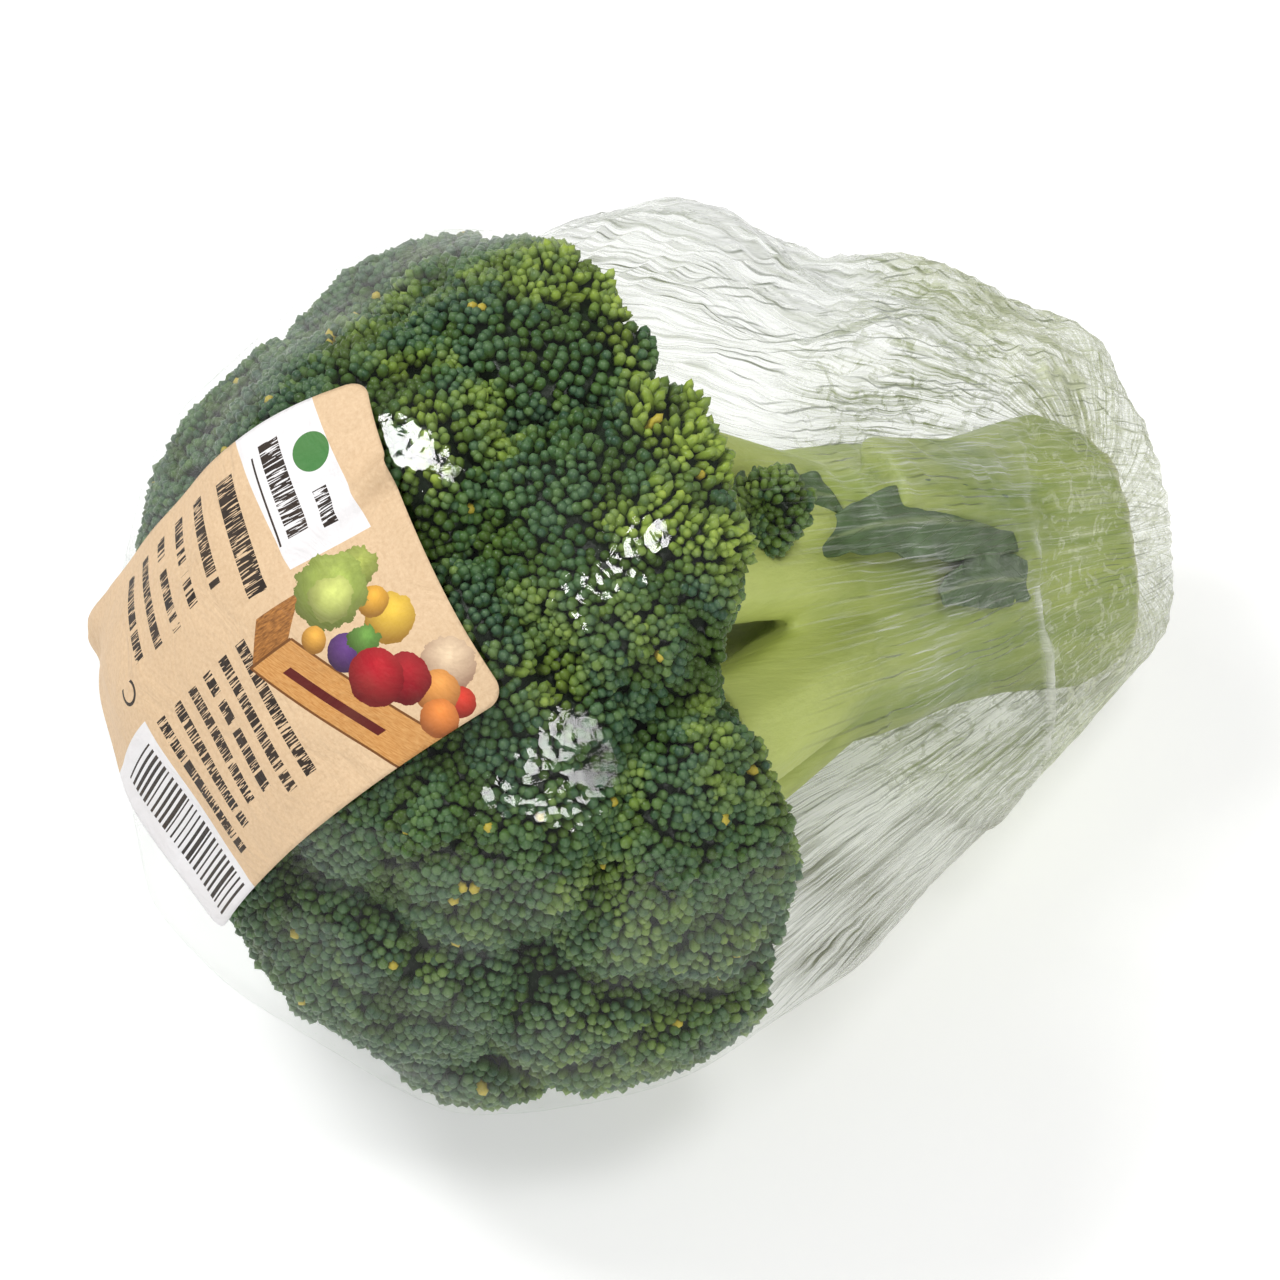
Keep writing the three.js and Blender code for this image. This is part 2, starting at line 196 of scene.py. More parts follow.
def stand_up(points, sizes):
    """Frame of the floor to the plant frame: the inverse of lay_down."""
    return (points - np.array(sizes.foot)) @ plant_axes(sizes).T


def aim(tilt, turn):
    """Unit vectors at an angle from +z and a turn about it."""
    return np.stack(
        [np.sin(tilt) * np.cos(turn), np.sin(tilt) * np.sin(turn), np.cos(tilt) + 0 * turn], -1
    )


def spread(count, seed=0.0):
    """Even directions: equal steps in height, each turned by the golden angle from the last."""
    i = np.arange(count)
    return aim(np.arccos(1 - 2 * (i + 0.5) / count), i * math.pi * (3 - 5 ** 0.5) + seed)


def waves(points, wavelength, seed, count=18):
    """Smooth random field, about -1 to 1: a sum of sine waves in random directions and phases."""
    rng = np.random.default_rng(seed)
    ways = unit(rng.normal(size=(count, 3))) * rng.uniform(0.7, 1.4, (count, 1))
    phase = rng.uniform(0, 2 * np.pi, count)
    return np.sin(points @ ways.T * (2 * np.pi / wavelength) + phase).sum(-1) / (count ** 0.5 * 1.2)


def step(low, high, x):
    """0 below low, 1 above high and a smooth rise between."""
    t = np.clip((x - low) / (high - low), 0, 1)
    return t * t * (3 - 2 * t)


def triangles(node):
    """A CAD node's triangles as an array of corners."""
    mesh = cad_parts[node].data
    mesh.calc_loop_triangles()
    co = np.empty(len(mesh.vertices) * 3)
    mesh.vertices.foreach_get("co", co)
    index = np.empty(len(mesh.loop_triangles) * 3, dtype=np.int32)
    mesh.loop_triangles.foreach_get("vertices", index)
    return co.reshape(-1, 3)[index].reshape(-1, 3, 3)


def cast(corners, origins, ways):
    """How far along each ray its furthest hit on the triangles is, or 0 where it misses them.

    A ray meets a triangle where the two edge weights u and v of the hit point are positive and add
    to less than one; solved for every ray and triangle at once by cross products.
    """
    a, e1, e2 = corners[:, 0], corners[:, 1] - corners[:, 0], corners[:, 2] - corners[:, 0]
    origins = np.broadcast_to(origins, ways.shape)
    far = np.zeros(len(ways))
    for k in range(0, len(ways), RAYS_AT_ONCE):
        lot = slice(k, k + RAYS_AT_ONCE)
        o, w = origins[lot, None], ways[lot, None]
        p = np.cross(w, e2[None])
        det = (p * e1[None]).sum(-1)
        det = np.where(np.abs(det) < 1e-15, 1e-15, det)
        s = o - a[None]
        u = (s * p).sum(-1) / det
        q = np.cross(s, e1[None])
        v = (w * q).sum(-1) / det
        t = (e2[None] * q).sum(-1) / det
        t = np.where((u >= -1e-6) & (v >= -1e-6) & (u + v <= 1 + 1e-6), t, 0)
        far[lot] = t.max(1)
    return far


def flats(corners, middle):
    """The outer flats of a closed convex shell: unit normals and distances from the origin."""
    n = unit(np.cross(corners[:, 1] - corners[:, 0], corners[:, 2] - corners[:, 0]))
    at = (n * corners.mean(1)).sum(-1)
    out = at - n @ middle > 0.006
    table = np.unique(np.round(np.c_[n[out], at[out]], 4), axis=0)
    return unit(table[:, :3]), table[:, 3]


def reach(normals, at, origins, ways):
    """Distance along each ray to the nearest flat in front of it."""
    facing = ways @ normals.T
    room = at - np.broadcast_to(origins, ways.shape) @ normals.T
    return np.where(facing > 1e-6, room / np.maximum(facing, 1e-6), 1e3).min(1)


def even(table, times, closed=True):
    """Each value of a grid drawn towards its four neighbours, round the grid if it is closed."""
    for _ in range(times):
        if closed:
            sides = np.roll(table, 1, 1) + np.roll(table, -1, 1)
        else:
            wall = np.pad(table, ((0, 0), (1, 1)), "edge")
            sides = wall[:, :-2] + wall[:, 2:]
        rim = np.pad(table, ((1, 1), (0, 0)), "edge")
        table = 0.4 * table + 0.15 * (sides + rim[:-2] + rim[2:])
    return table


def grid_faces(rows, columns, closed=False):
    """Quads between neighbouring rows and columns; closed joins the last column to the first."""
    i = np.arange(rows - 1)[:, None] * columns
    j = np.arange(columns if closed else columns - 1)[None]
    k = (j + 1) % columns
    return np.stack([i + j, i + k, i + columns + k, i + columns + j], -1).reshape(-1, 4)


def fan_faces(pole, first, columns, flip=False):
    """Triangles from a pole to a closed row of points."""
    j = np.arange(columns)
    k = (j + 1) % columns
    sides = [first + k, first + j] if flip else [first + j, first + k]
    return np.stack([np.full(columns, pole), *sides], -1)


def make_piece(name, points, faces, surface, stands_for=(), uv=None, marks=None):
    """Puts arrays into a mesh: faces is a list of index arrays, each with one number of corners."""
    mesh = bpy.data.meshes.new(name)
    mesh.vertices.add(len(points))
    mesh.vertices.foreach_set("co", np.asarray(points, dtype=np.float32).ravel())
    sizes = np.concatenate([np.full(len(f), f.shape[1]) for f in faces])
    corners = np.concatenate([f.ravel() for f in faces]).astype(np.int32)
    mesh.loops.add(len(corners))
    mesh.loops.foreach_set("vertex_index", corners)
    mesh.polygons.add(len(sizes))
    mesh.polygons.foreach_set("loop_start", np.r_[0, np.cumsum(sizes)[:-1]].astype(np.int32))
    if uv is not None:
        mesh.uv_layers.new(name="wrap").data.foreach_set("uv", uv.astype(np.float32).ravel())
    for key, value in (marks or {}).items():
        layer = mesh.attributes.new(key, "FLOAT_COLOR", "POINT")
        full = np.c_[value, np.ones(len(value))].astype(np.float32)
        layer.data.foreach_set("color", full.ravel())
    mesh.update(calc_edges=True)
    mesh.validate()
    mesh.shade_smooth()
    return place(name, mesh, surface, stands_for)


def place(name, mesh, surface, stands_for):
    """Links a mesh as an object on the one body, with its finish and the CAD nodes it stands for."""
    piece = bpy.data.objects.new(name, mesh)
    bpy.context.scene.collection.objects.link(piece)
    mesh.materials.clear()
    mesh.materials.append(surface)
    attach(piece, "root")
    if stands_for:
        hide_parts(*stands_for)
    return piece


# --- Finishes ------------------------------------------------------------------------------------

def operator(operation):
    """A method for one of Python's operators, which adds one Math node."""
    return lambda self, other: self.math(operation, other)


class Value:
    """A number in a shader. Python's operators on it, and 1 - mask, add the Math nodes."""

    __add__ = __radd__ = operator("ADD")
    __sub__ = operator("SUBTRACT")
    __mul__ = __rmul__ = operator("MULTIPLY")
    __truediv__ = operator("DIVIDE")
    __pow__ = operator("POWER")
    __gt__ = operator("GREATER_THAN")
    __lt__ = operator("LESS_THAN")

    def __init__(self, finish, socket):
        self.finish, self.socket = finish, socket

    def __rsub__(self, other):
        return self * -1.0 + other

    def math(self, operation, *others, clamp=False):
        settings = {"operation": operation, "use_clamp": clamp}
        return self.finish.node("ShaderNodeMath", settings, dict(enumerate((self, *others))))[0]

    def clamp(self):
        return self.math("ADD", 0.0, clamp=True)

    def size(self):
        return self.math("ABSOLUTE")

    def floor(self):
        return self.math("FLOOR")

    def part(self):
        return self.math("FRACT")

    def rise(self, low, high):
        """0 at low, 1 at high, held outside."""
        return self.math("MULTIPLY_ADD", 1 / (high - low), -low / (high - low), clamp=True)


class Finish:
    """A material and the few ways that its nodes are made."""

    def __init__(self, name):
        self.material = bpy.data.materials.new(name)
        self.material.use_nodes = True
        self.tree = self.material.node_tree
        self.tree.nodes.clear()

    def node(self, kind, settings=None, inputs=None):
        """Adds a node, sets its settings, then its inputs by name or place; returns its outputs."""
        made = self.tree.nodes.new(kind)
        for key, value in (settings or {}).items():
            setattr(made, key, value)
        for key, value in (inputs or {}).items():
            socket = made.inputs[key]
            if isinstance(value, Value):
                self.tree.links.new(value.socket, socket)
            elif isinstance(value, tuple) and len(value) == 3 and socket.type == "RGBA":
                socket.default_value = (*value, 1)
            else:
                socket.default_value = value
        return [Value(self, s) for s in made.outputs]

    def place(self):
        return self.node("ShaderNodeTexCoord")[3]

    def along_plant(self, sizes, scale=(1, 1, 1)):
        """Object coordinates turned so that z runs up the stalk, and stretched."""
        moved = self.node("ShaderNodeVectorMath", {"operation": "SUBTRACT"},
                          {0: self.place(), 1: tuple(sizes.foot)})[0]
        turned = self.node("ShaderNodeMapping", {"vector_type": "POINT"},
                           {0: moved, "Rotation": (0, math.pi / 2 - sizes.lie, 0)})[0]
        return self.node("ShaderNodeMapping", {"vector_type": "POINT"}, {0: turned, "Scale": scale})[0]

    def mark(self, name):
        """The three channels of a painted attribute."""
        colour = self.node("ShaderNodeAttribute", {"attribute_name": name})[0]
        return self.node("ShaderNodeSeparateColor", None, {0: colour})[:3]

    def wrap(self):
        uv = self.node("ShaderNodeUVMap", {"uv_map": "wrap"})[0]
        return self.node("ShaderNodeSeparateXYZ", None, {0: uv})[:2]

    def join(self, x, y, z=0.0):
        return self.node("ShaderNodeCombineXYZ", None, {0: x, 1: y, 2: z})[0]

    def noise(self, where, scale, detail=3.0, rough=0.55, twist=0.0):
        return self.node("ShaderNodeTexNoise", None, {
            "Vector": where, "Scale": scale, "Detail": detail, "Roughness": rough,
            "Distortion": twist})[0]

    def cells(self, where, scale):
        """Distance to the nearest of scattered points."""
        return self.node("ShaderNodeTexVoronoi", None, {"Vector": where, "Scale": scale})[0]

    def blend(self, amount, first, second):
        """Colour from first to second by amount."""
        made = self.tree.nodes.new("ShaderNodeMix")
        made.data_type = "RGBA"
        for socket, value in zip((made.inputs[0], made.inputs[6], made.inputs[7]),
                                 (amount, first, second)):
            if isinstance(value, Value):
                self.tree.links.new(value.socket, socket)
            else:
                socket.default_value = (*value, 1) if isinstance(value, tuple) else value
        return Value(self, made.outputs[2])

    def bump(self, height, depth, strength=1.0):
        return self.node("ShaderNodeBump", None,
                         {"Height": height, "Distance": depth, "Strength": strength})[0]

    def skin(self, **inputs):
        """A Principled shader, its sockets named with underscores for spaces."""
        return self.node("ShaderNodeBsdfPrincipled", None,
                         {k.replace("_", " "): v for k, v in inputs.items()})[0]

    def layer(self, amount, under, over):
        """Mix of two shaders."""
        return self.node("ShaderNodeMixShader", None, {0: amount, 1: under, 2: over})[0]

    def done(self, shader):
        self.node("ShaderNodeOutputMaterial", None, {"Surface": shader})
        return self.material


def rgb(value, bright=1.0):
    """A colour as plain numbers, made darker or lighter."""
    return tuple(min(1.0, bright * float(c)) for c in value)


def bud_finish(buds):
    """Buds: cool green tops on yellow-green sides, painted shade between them and low on each bud, a
    painted highlight on each top, some paler or near to opening.
    """
    f = Finish("bud skin")
    # height runs up each bud and is lowered in the valleys between knobs and tufts; besides the bud's own
    # colours it places the painted shade and the painted highlight.
    height, luck, age = f.mark("bud")
    patch = f.noise(f.place(), 60, 2)
    top = f.blend((patch * 1.6 - 0.5 + (luck - 0.5) * 0.5).clamp(), rgb(buds.tip_blue), rgb(buds.tip))
    clump = f.noise(f.place(), 330, 2)
    young = (age * (clump * 2.2 - 0.25) + (luck - 0.7) * 0.35).clamp()
    top = f.blend(young * 0.85, top, rgb(buds.side))
    low = f.blend((age * 0.6 + patch * 0.4).clamp(), rgb(buds.tip), rgb(buds.side))
    body = f.blend(height.rise(0.4, 0.8), low, top)
    # A painted highlight in the middle of each bud's top.
    painted_glint = f.blend(young, rgb(buds.painted_glint), rgb(buds.painted_glint_young))
    body = f.blend(height.rise(0.78, 1.0) * 0.6, body, painted_glint)
    # Painted shade low on each bud and between the buds.
    body = f.blend(height.rise(0.24, 0.74), rgb(buds.painted_gap_shade), body)
    body = f.blend((luck > 0.994) * 0.9, body, rgb(buds.bloom))
    grain = f.noise(f.place(), 1800, 2)
    return f.done(f.skin(
        Base_Color=body, Roughness=(grain * 0.25 + 0.22), Specular_IOR_Level=0.22,
        Normal=f.bump(grain, 0.0001, 0.6)))


def flesh_finish(plant):
    """Stalk: pale skin with long fibres, greener in streaks and blotches, painted lighter near the crown
    where the crown's shadow falls, cream at the cut end.
    """
    f = Finish("stalk flesh")
    fibre = f.noise(f.along_plant(plant, (900, 900, 40)), 1.0, 4)
    streak = f.noise(f.along_plant(plant, (150, 150, 14)), 1.0, 3, 0.6)
    blotch = f.noise(f.place(), 45, 3)
    level = f.node("ShaderNodeSeparateXYZ", None, {0: f.along_plant(plant)})[2]
    shade = (streak * 1.8 + blotch * 1.2 + fibre * 0.8 - 1.55).clamp()
    body = f.blend(shade, rgb(plant.flesh), rgb(plant.flesh_dark))
    # Painted light near the crown, where the crown's shadow falls on the branches.
    body = f.blend(level.rise(0.040, 0.066) * 0.7, body, rgb(plant.flesh_painted_light))
    body = f.blend(level.rise(0.0012, 0.0002), body, rgb(plant.cut))
    return f.done(f.skin(
        Base_Color=body, Roughness=(fibre * 0.3 + 0.35), Normal=f.bump(fibre + streak, 0.0004, 0.55)))


def leaf_finish(plant):
    """Leaf: grey-green blade, pale midrib and side veins that run off it at an angle."""
    f = Finish("leaf blade")
    along, across = f.wrap()
    off = (across - 0.5).size()
    midrib = 1.0 - off.rise(0.02, 0.07)
    veins = ((along * 9.0 - off * 6.0).part() - 0.5).size().rise(0.44, 0.5)
    blotch = f.noise(f.place(), 220, 4)
    body = f.blend(blotch.rise(0.3, 0.75), rgb(plant.leaf), rgb(plant.leaf, 1.5))
    body = f.blend((midrib * 0.6 + veins * 0.3).clamp(), body, rgb(plant.leaf_vein))
    return f.done(f.skin(
        Base_Color=body, Roughness=0.48, Normal=f.bump(blotch + veins * 0.4, 0.0004, 0.7)))


def film_finish(film):
    """Film: clear, glossy and finely creased; where it is loose, drawn into pale lines and dark lines of
    painted shade. Painted glints and the stalk's painted green light at the end, painted shade on the
    lower side.
    """
    f = Finish("clear film")
    milk, drawn, touch = f.mark("film")
    green, painted_lower_shade, ridge = f.mark("film tint")
    fold = green * 0.6
    u, v = f.wrap()
    long = f.noise(f.join(u * 210.0, v * 7.0), 1.0, 4, 0.6)
    hair = f.noise(f.join(u * 700.0, v * 14.0, 3.0), 1.0, 1)
    band = f.noise(f.join(u * 16.0, v * 9.0, 7.0), 1.0, 2)
    crumple = f.noise(f.place(), 150, 4, 0.65, 1.2)
    sparkle = f.noise(f.place(), 260, 4, 0.7, 2.0)
    dimple = f.cells(f.place(), 520) * (touch * 1.6 - 0.9 + f.noise(f.place(), 240, 2)).clamp()
    height = ((long * 1.2 + hair * 0.5 + sparkle * fold) * drawn
              + (dimple * 0.2 + crumple * 0.12) * (1.0 - drawn))
    normal = f.bump(height, 0.0007, 0.8)
    sway = f.noise(f.join(u * 14.0, v * 5.0, 5.0), 1.0, 2)
    broken = f.noise(f.join(u * 120.0, v * 12.0, 11.0), 1.0, 1)
    hatch = ((u * 250.0 + sway * 6.0).part() - 0.5).size()
    lines = hatch.rise(0.12, 0.04) * broken.rise(0.50, 0.58) + hair.rise(0.56, 0.61) * 0.5
    lines = lines * band.rise(0.42, 0.56) * drawn
    # Painted shade along fold lines.
    fold_line_shade = hatch.rise(0.34, 0.45) * broken.rise(0.50, 0.42) * band.rise(0.58, 0.46) * drawn
    streak = (long.rise(0.46, 0.72) * 0.75 + hair.rise(0.5, 0.75) * 0.45) * drawn
    # Painted glints: white sparkles at the stalk's end.
    painted_sparkle = sparkle.rise(0.52, 0.60) * fold
    facing = f.node("ShaderNodeLayerWeight", None, {"Blend": 0.5})[1]
    edge = f.node("ShaderNodeLayerWeight", None, {"Blend": 0.5, "Normal": normal})[1]
    white = (milk * (0.3 + streak * 1.6) + lines * 0.30 + painted_sparkle * 0.6 + ridge * 0.8
             + facing ** 8.0 * 0.26).clamp()
    shade = fold_line_shade * 0.6
    # The stalk's green light, painted at the end.
    body = f.blend((green * 0.7).clamp(), rgb(film.milk), rgb(film.painted_stalk_light))
    # Painted shade on the lower side.
    body = f.blend(painted_lower_shade, body, rgb(film.shadow))
    body = f.blend((shade / (shade + white + 0.001)).clamp(), body, rgb(film.line))
    clear = f.node("ShaderNodeBsdfTransparent", None, {0: (0.985, 0.99, 0.985)})[0]
    pale = f.skin(Base_Color=body, Roughness=0.3, Normal=normal)
    gloss = f.node("ShaderNodeBsdfAnisotropic", None,
                   {"Color": (1.0, 1.0, 1.0), "Roughness": 0.06, "Normal": normal})[0]
    shine = edge ** 7.0 * 0.34 + 0.015 + touch * (1.0 - drawn) * 0.028
    return f.done(f.layer(shine, f.layer((white + shade).clamp(), clear, pale), gloss))


PRINT = (  # millimetres: left, right, top, from row to row; how many; height; seed, share of gaps
    (12.5, 19.0, 9.2, 5.0, 1, 2.2, 11.0, 0.2), (3.0, 18.0, 13.6, 5.0, 1, 3.2, 15.0, 0.2),
    (3.8, 23.0, 22.0, 4.4, 1, 3.2, 31.0, 0.1), (3.2, 19.0, 28.6, 5.0, 5, 2.0, 21.0, 0.38),
    (25.4, 49.0, 28.8, 4.15, 6, 2.0, 47.0, 0.38),
)
PRODUCE = (  # millimetres: middle across and down, radius; how ruffled; colour
    (43.9, 4.4, 3.9, 1.0, 228, 180, 150), (34.3, 8.2, 3.6, 0.6, 226, 168, 60),
    (30.9, 9.4, 2.3, 0.4, 214, 150, 50), (25.6, 9.6, 3.0, 1.6, 150, 160, 76),
    (26.6, 14.2, 5.4, 1.6, 148, 164, 78), (27.6, 14.6, 3.2, 1.2, 186, 194, 108),
    (31.3, 19.2, 1.9, 0.2, 216, 150, 62), (49.3, 5.8, 2.2, 0.3, 184, 48, 36),
    (46.4, 7.6, 3.1, 0.4, 222, 138, 70), (35.2, 16.0, 2.7, 0.3, 84, 50, 112),
    (35.3, 12.8, 2.2, 1.8, 96, 140, 62), (42.6, 10.4, 3.6, 0.5, 146, 22, 34),
    (40.3, 13.9, 4.1, 0.5, 158, 24, 36), (49.6, 9.4, 2.7, 0.4, 216, 120, 56),
)
BAR_PITCH = 0.95


def label_finish(label):
    """Brown paper with plain print: a white panel, a disc, rows of strokes, bars and a crate.

    All measures are in millimetres, across and down from the label's top left corner.
    """
    f = Finish("printed kraft paper")
    u, v = f.wrap()
    x, y = u * (label.size[0] / MM), v * (label.size[1] / MM)
    where = f.join(x, y)

    def within(value, low, high):
        return (value > low) * (value < high)

    def block(cx, cy, width, height, corner):
        """1 inside a rectangle with round corners."""
        dx = ((x - cx).size() - (width / 2 - corner)).math("MAXIMUM", 0.0)
        dy = ((y - cy).size() - (height / 2 - corner)).math("MAXIMUM", 0.0)
        return (dx * dx + dy * dy) < corner * corner

    def rows(left, right, top, pitch, count, tall, seed, gap):
        """Rows of short strokes with gaps like words, each row ending at its own place."""
        t = (y - top) / pitch
        row = t.floor()
        words = f.noise(f.join(x * 0.55, row * 9.7 + seed), 1.0, 1) > gap
        strokes = f.noise(f.join(x * 4.0, row * 5.3 + seed, t * 1.2), 1.0, 1) > 0.44
        end = f.noise(f.join(row * 3.3 + seed, 0.5), 1.0, 0) * (right - left) * 0.5
        long_enough = x < (end * -1.0 + right + (right - left) * 0.12)
        band = (t.part() < tall / pitch)
        return (band * words * strokes * long_enough * within(x, left, right)
                * within(y, top, top + pitch * count))

    fibre = f.noise(where, 1.6, 5, 0.7)
    fleck = f.noise(f.join(x * 1.4, y * 7.0), 1.0, 3) > 0.66
    paper = f.blend((fibre * 1.5 - 0.5).clamp(), rgb(label.kraft), rgb(label.kraft_dark))
    paper = f.blend(fleck * 0.3, paper, rgb(label.kraft_dark))
    white, ink = rgb(label.white), rgb(label.ink)
    panel = within(x, -1.0, 21.0) * within(y + x * 0.1, 7.6, 20.2)
    look = f.blend(panel, paper, white)
    look = f.blend(block(7.4, 9.6, 5.4, 5.4, 2.7), look, rgb(label.tag))
    for print_rows in PRINT:
        look = f.blend(rows(*print_rows), look, ink)
    look = f.blend(within(x, 4.0, 17.5) * within(y, 18.0, 18.3), look, ink)
    ring = (((x - 18.9) ** 2.0 + (y - 54.5) ** 2.0) ** 0.5 - 1.7).size() < 0.25
    look = f.blend(ring * (x > 17.8), look, ink)
    # A crate of produce, its front drawn along a slant.
    dark_wood, wood, pale_wood = paint(120, 74, 34), paint(196, 132, 66), paint(224, 170, 104)
    slant = y + x * 0.52
    front = within(slant, 37.4, 45.4) * (x > 29.3)
    end = within(x, 24.4, 29.31) * (y > x - 6.6) * (y < x * 0.85 + 4.8)
    grain = f.noise(f.join(x * 0.9, slant * 5.0), 1.0, 3)
    timber = f.blend(grain.rise(0.3, 0.7), pale_wood, wood)
    look = f.blend(front, look, timber)
    end_grain = f.noise(f.join(x * 4.0, y * 0.8), 1.0, 2).rise(0.3, 0.7)
    look = f.blend(end, look, f.blend(end_grain, wood, dark_wood))
    look = f.blend(within(slant, 41.2, 42.7) * within(x, 32.5, 47.0), look, paint(96, 26, 24))
    line = (((slant - 37.4).size() < 0.2) + ((slant - 45.3).size() < 0.2)) * (x > 29.3)
    line = line + ((x - 29.3).size() < 0.2) * within(slant, 37.4, 45.4)
    look = f.blend(line.clamp(), look, dark_wood)
    ruffle = f.noise(where, 0.55, 3, 0.6)
    for cx, cy, size, ruffled, *shade in PRODUCE:
        body = paint(*shade)
        d = ((x - cx) ** 2.0 + (y - cy) ** 2.0) ** 0.5 + (ruffle - 0.5) * 2.0 * ruffled
        lit = ((x - (cx - size * 0.3)) ** 2.0 + (y - (cy - size * 0.3)) ** 2.0) ** 0.5
        ball = f.blend(lit.rise(size * 0.1, size * 1.25), rgb(body, 1.7), rgb(body, 0.45))
        folds = (ruffle * 2.0 - 0.7).clamp() * min(1, 0.4 * ruffled)
        look = f.blend(d < size, look, f.blend(folds, ball, rgb(body, 0.5)))
    look = f.blend((x > 24.0) * (y > 53.6), look, white)
    bar = x / BAR_PITCH
    thick = f.node("ShaderNodeTexWhiteNoise", {"noise_dimensions": "1D"}, {"W": bar.floor()})[0]
    stripe = bar.part() < thick * 0.62 + 0.18
    look = f.blend(stripe * within(x, 26.0, 51.0) * within(y, 55.3, 66.0), look, ink)
    crumple = f.noise(where, 0.11, 4, 0.6, 0.8)
    rough = f.bump(fibre * 0.06 + crumple, 0.004, 0.35)
    # Painted shade: the paper is darker where the crumple field stands high.
    look = f.blend(crumple.rise(0.35, 0.75) * 0.12, look, rgb(label.kraft_dark, 0.6))
    return f.done(f.skin(Base_Color=look, Roughness=0.6, Normal=rough, Specular_IOR_Level=0.3))


# --- Pieces --------------------------------------------------------------------------------------

class BROCCOLI_OT_stems(bpy.types.Operator):
    """Stalk, branches and cut leaf stalks, grown together into one skin"""

    bl_idname = "broccoli.stems"
    bl_label = "Stalk and Branches"

    def execute(self, context):
        """The CAD pieces are swelled until they touch, skinned again in small squares and relaxed."""
        plant = context.scene.broccoli_plant
        corners = np.concatenate([triangles(n) for n in STEM_NODES])
        flat, back = np.unique(np.round(corners.reshape(-1, 3), 6), axis=0, return_inverse=True)
        index = back.reshape(-1, 3)
        n = np.cross(corners[:, 1] - corners[:, 0], corners[:, 2] - corners[:, 0])
        out = np.zeros_like(flat)
        for k in range(3):
            np.add.at(out, index[:, k], n)
        rough = bpy.data.meshes.new("stems")
        rough.from_pydata((flat + unit(out) * 0.0003).tolist(), [], index.tolist())
        piece = place("stems", rough, flesh_finish(plant), STEM_NODES)
        skin = piece.modifiers.new("skin", "REMESH")
        skin.mode, skin.voxel_size = "VOXEL", plant.stem_skin
        relax = piece.modifiers.new("relax", "SMOOTH")
        relax.factor, relax.iterations = 0.5, 14
        graph = context.evaluated_depsgraph_get()
        mesh = bpy.data.meshes.new_from_object(piece.evaluated_get(graph), depsgraph=graph)
        piece.modifiers.clear()
        piece.data = mesh
        bpy.data.meshes.remove(rough)
        mesh.name = "stems"
        mesh.shade_smooth()
        return {"FINISHED"}


BUD_RINGS = ((-1.0, 0.36), (-0.4, 0.7), (0.02, 1.0), (0.36, 0.8))  # height and radius, tip at 0.6
BUD_SIDES = 6
SKIN_ROWS, SKIN_COLUMNS = 48, 80


def bud_pattern():
    """One bud: rings of a rounded club about z, closed by a point on top and a face below."""
    turn = np.arange(BUD_SIDES) * 2 * np.pi / BUD_SIDES
    rings = [np.stack([r * np.cos(turn + 0.5 * i), r * np.sin(turn + 0.5 * i), 0 * turn + z], -1)
             for i, (z, r) in enumerate(BUD_RINGS)]
    points = np.concatenate([*rings, [[0, 0, 0.6]]])
    last = (len(BUD_RINGS) - 1) * BUD_SIDES
    sides = grid_faces(len(BUD_RINGS), BUD_SIDES, closed=True)
    top = fan_faces(len(points) - 1, last, BUD_SIDES)
    bottom = np.arange(BUD_SIDES)[::-1][None]
    return points, [sides, top, bottom]


def floret_skin(node, centre, crown, plant, buds):
    """A floret's bare skin on a grid of directions from its centre, and its outward normals.

    Each direction meets the CAD face; the valleys between florets are part filled towards the dome,
    and the floret is widened a little square to the crown's radius so that neighbours close up. The
    rim is drawn up by a bell curve of the turn where the thick branch comes out.
    """
    tilt = np.linspace(0, np.pi, SKIN_ROWS)
    turn = np.arange(SKIN_COLUMNS) * 2 * np.pi / SKIN_COLUMNS
    ways = aim(*np.meshgrid(tilt, turn, indexing="ij"))
    far = cast(triangles(node), centre, ways.reshape(-1, 3)).reshape(SKIN_ROWS, SKIN_COLUMNS)
    far = even(far, 3)
    far[0], far[-1] = far[0].mean(), far[-1].mean()
    points = centre + ways * far[..., None]
    radial = unit(points - crown)
    depth = np.linalg.norm(points - crown, axis=-1)
    above = step(-0.42, -0.05, radial @ plant_axes(plant)[2])
    fill = buds.fill * above * step(0.028, 0.050, depth)
    points += radial * (np.maximum(plant.crown_radius - 0.0012 - depth, 0) * fill)[..., None]
    off = points - centre
    points += (off - radial * (off * radial).sum(-1, keepdims=True)) * (buds.widen * above)[..., None]
    here = stand_up(points, plant)
    turn = np.degrees(np.arctan2(here[..., 1], here[..., 0])) - math.degrees(buds.notch_turn)
    notch = np.exp(-(((turn + 180) % 360 - 180) / 21) ** 2)
    notch *= step(-0.016, 0.012, plant.crown_height - here[..., 2])
    points += plant_axes(plant)[2] * (buds.notch * notch)[..., None]
    ring = np.concatenate([points[:, -1:], points, points[:, :1]], 1)
    down = np.gradient(points, axis=0)
    round_ = ring[:, 2:] - ring[:, :-2]
    normal = np.cross(down, round_)
    normal[0], normal[-1] = [0, 0, 1], [0, 0, -1]
    return points, unit(normal)


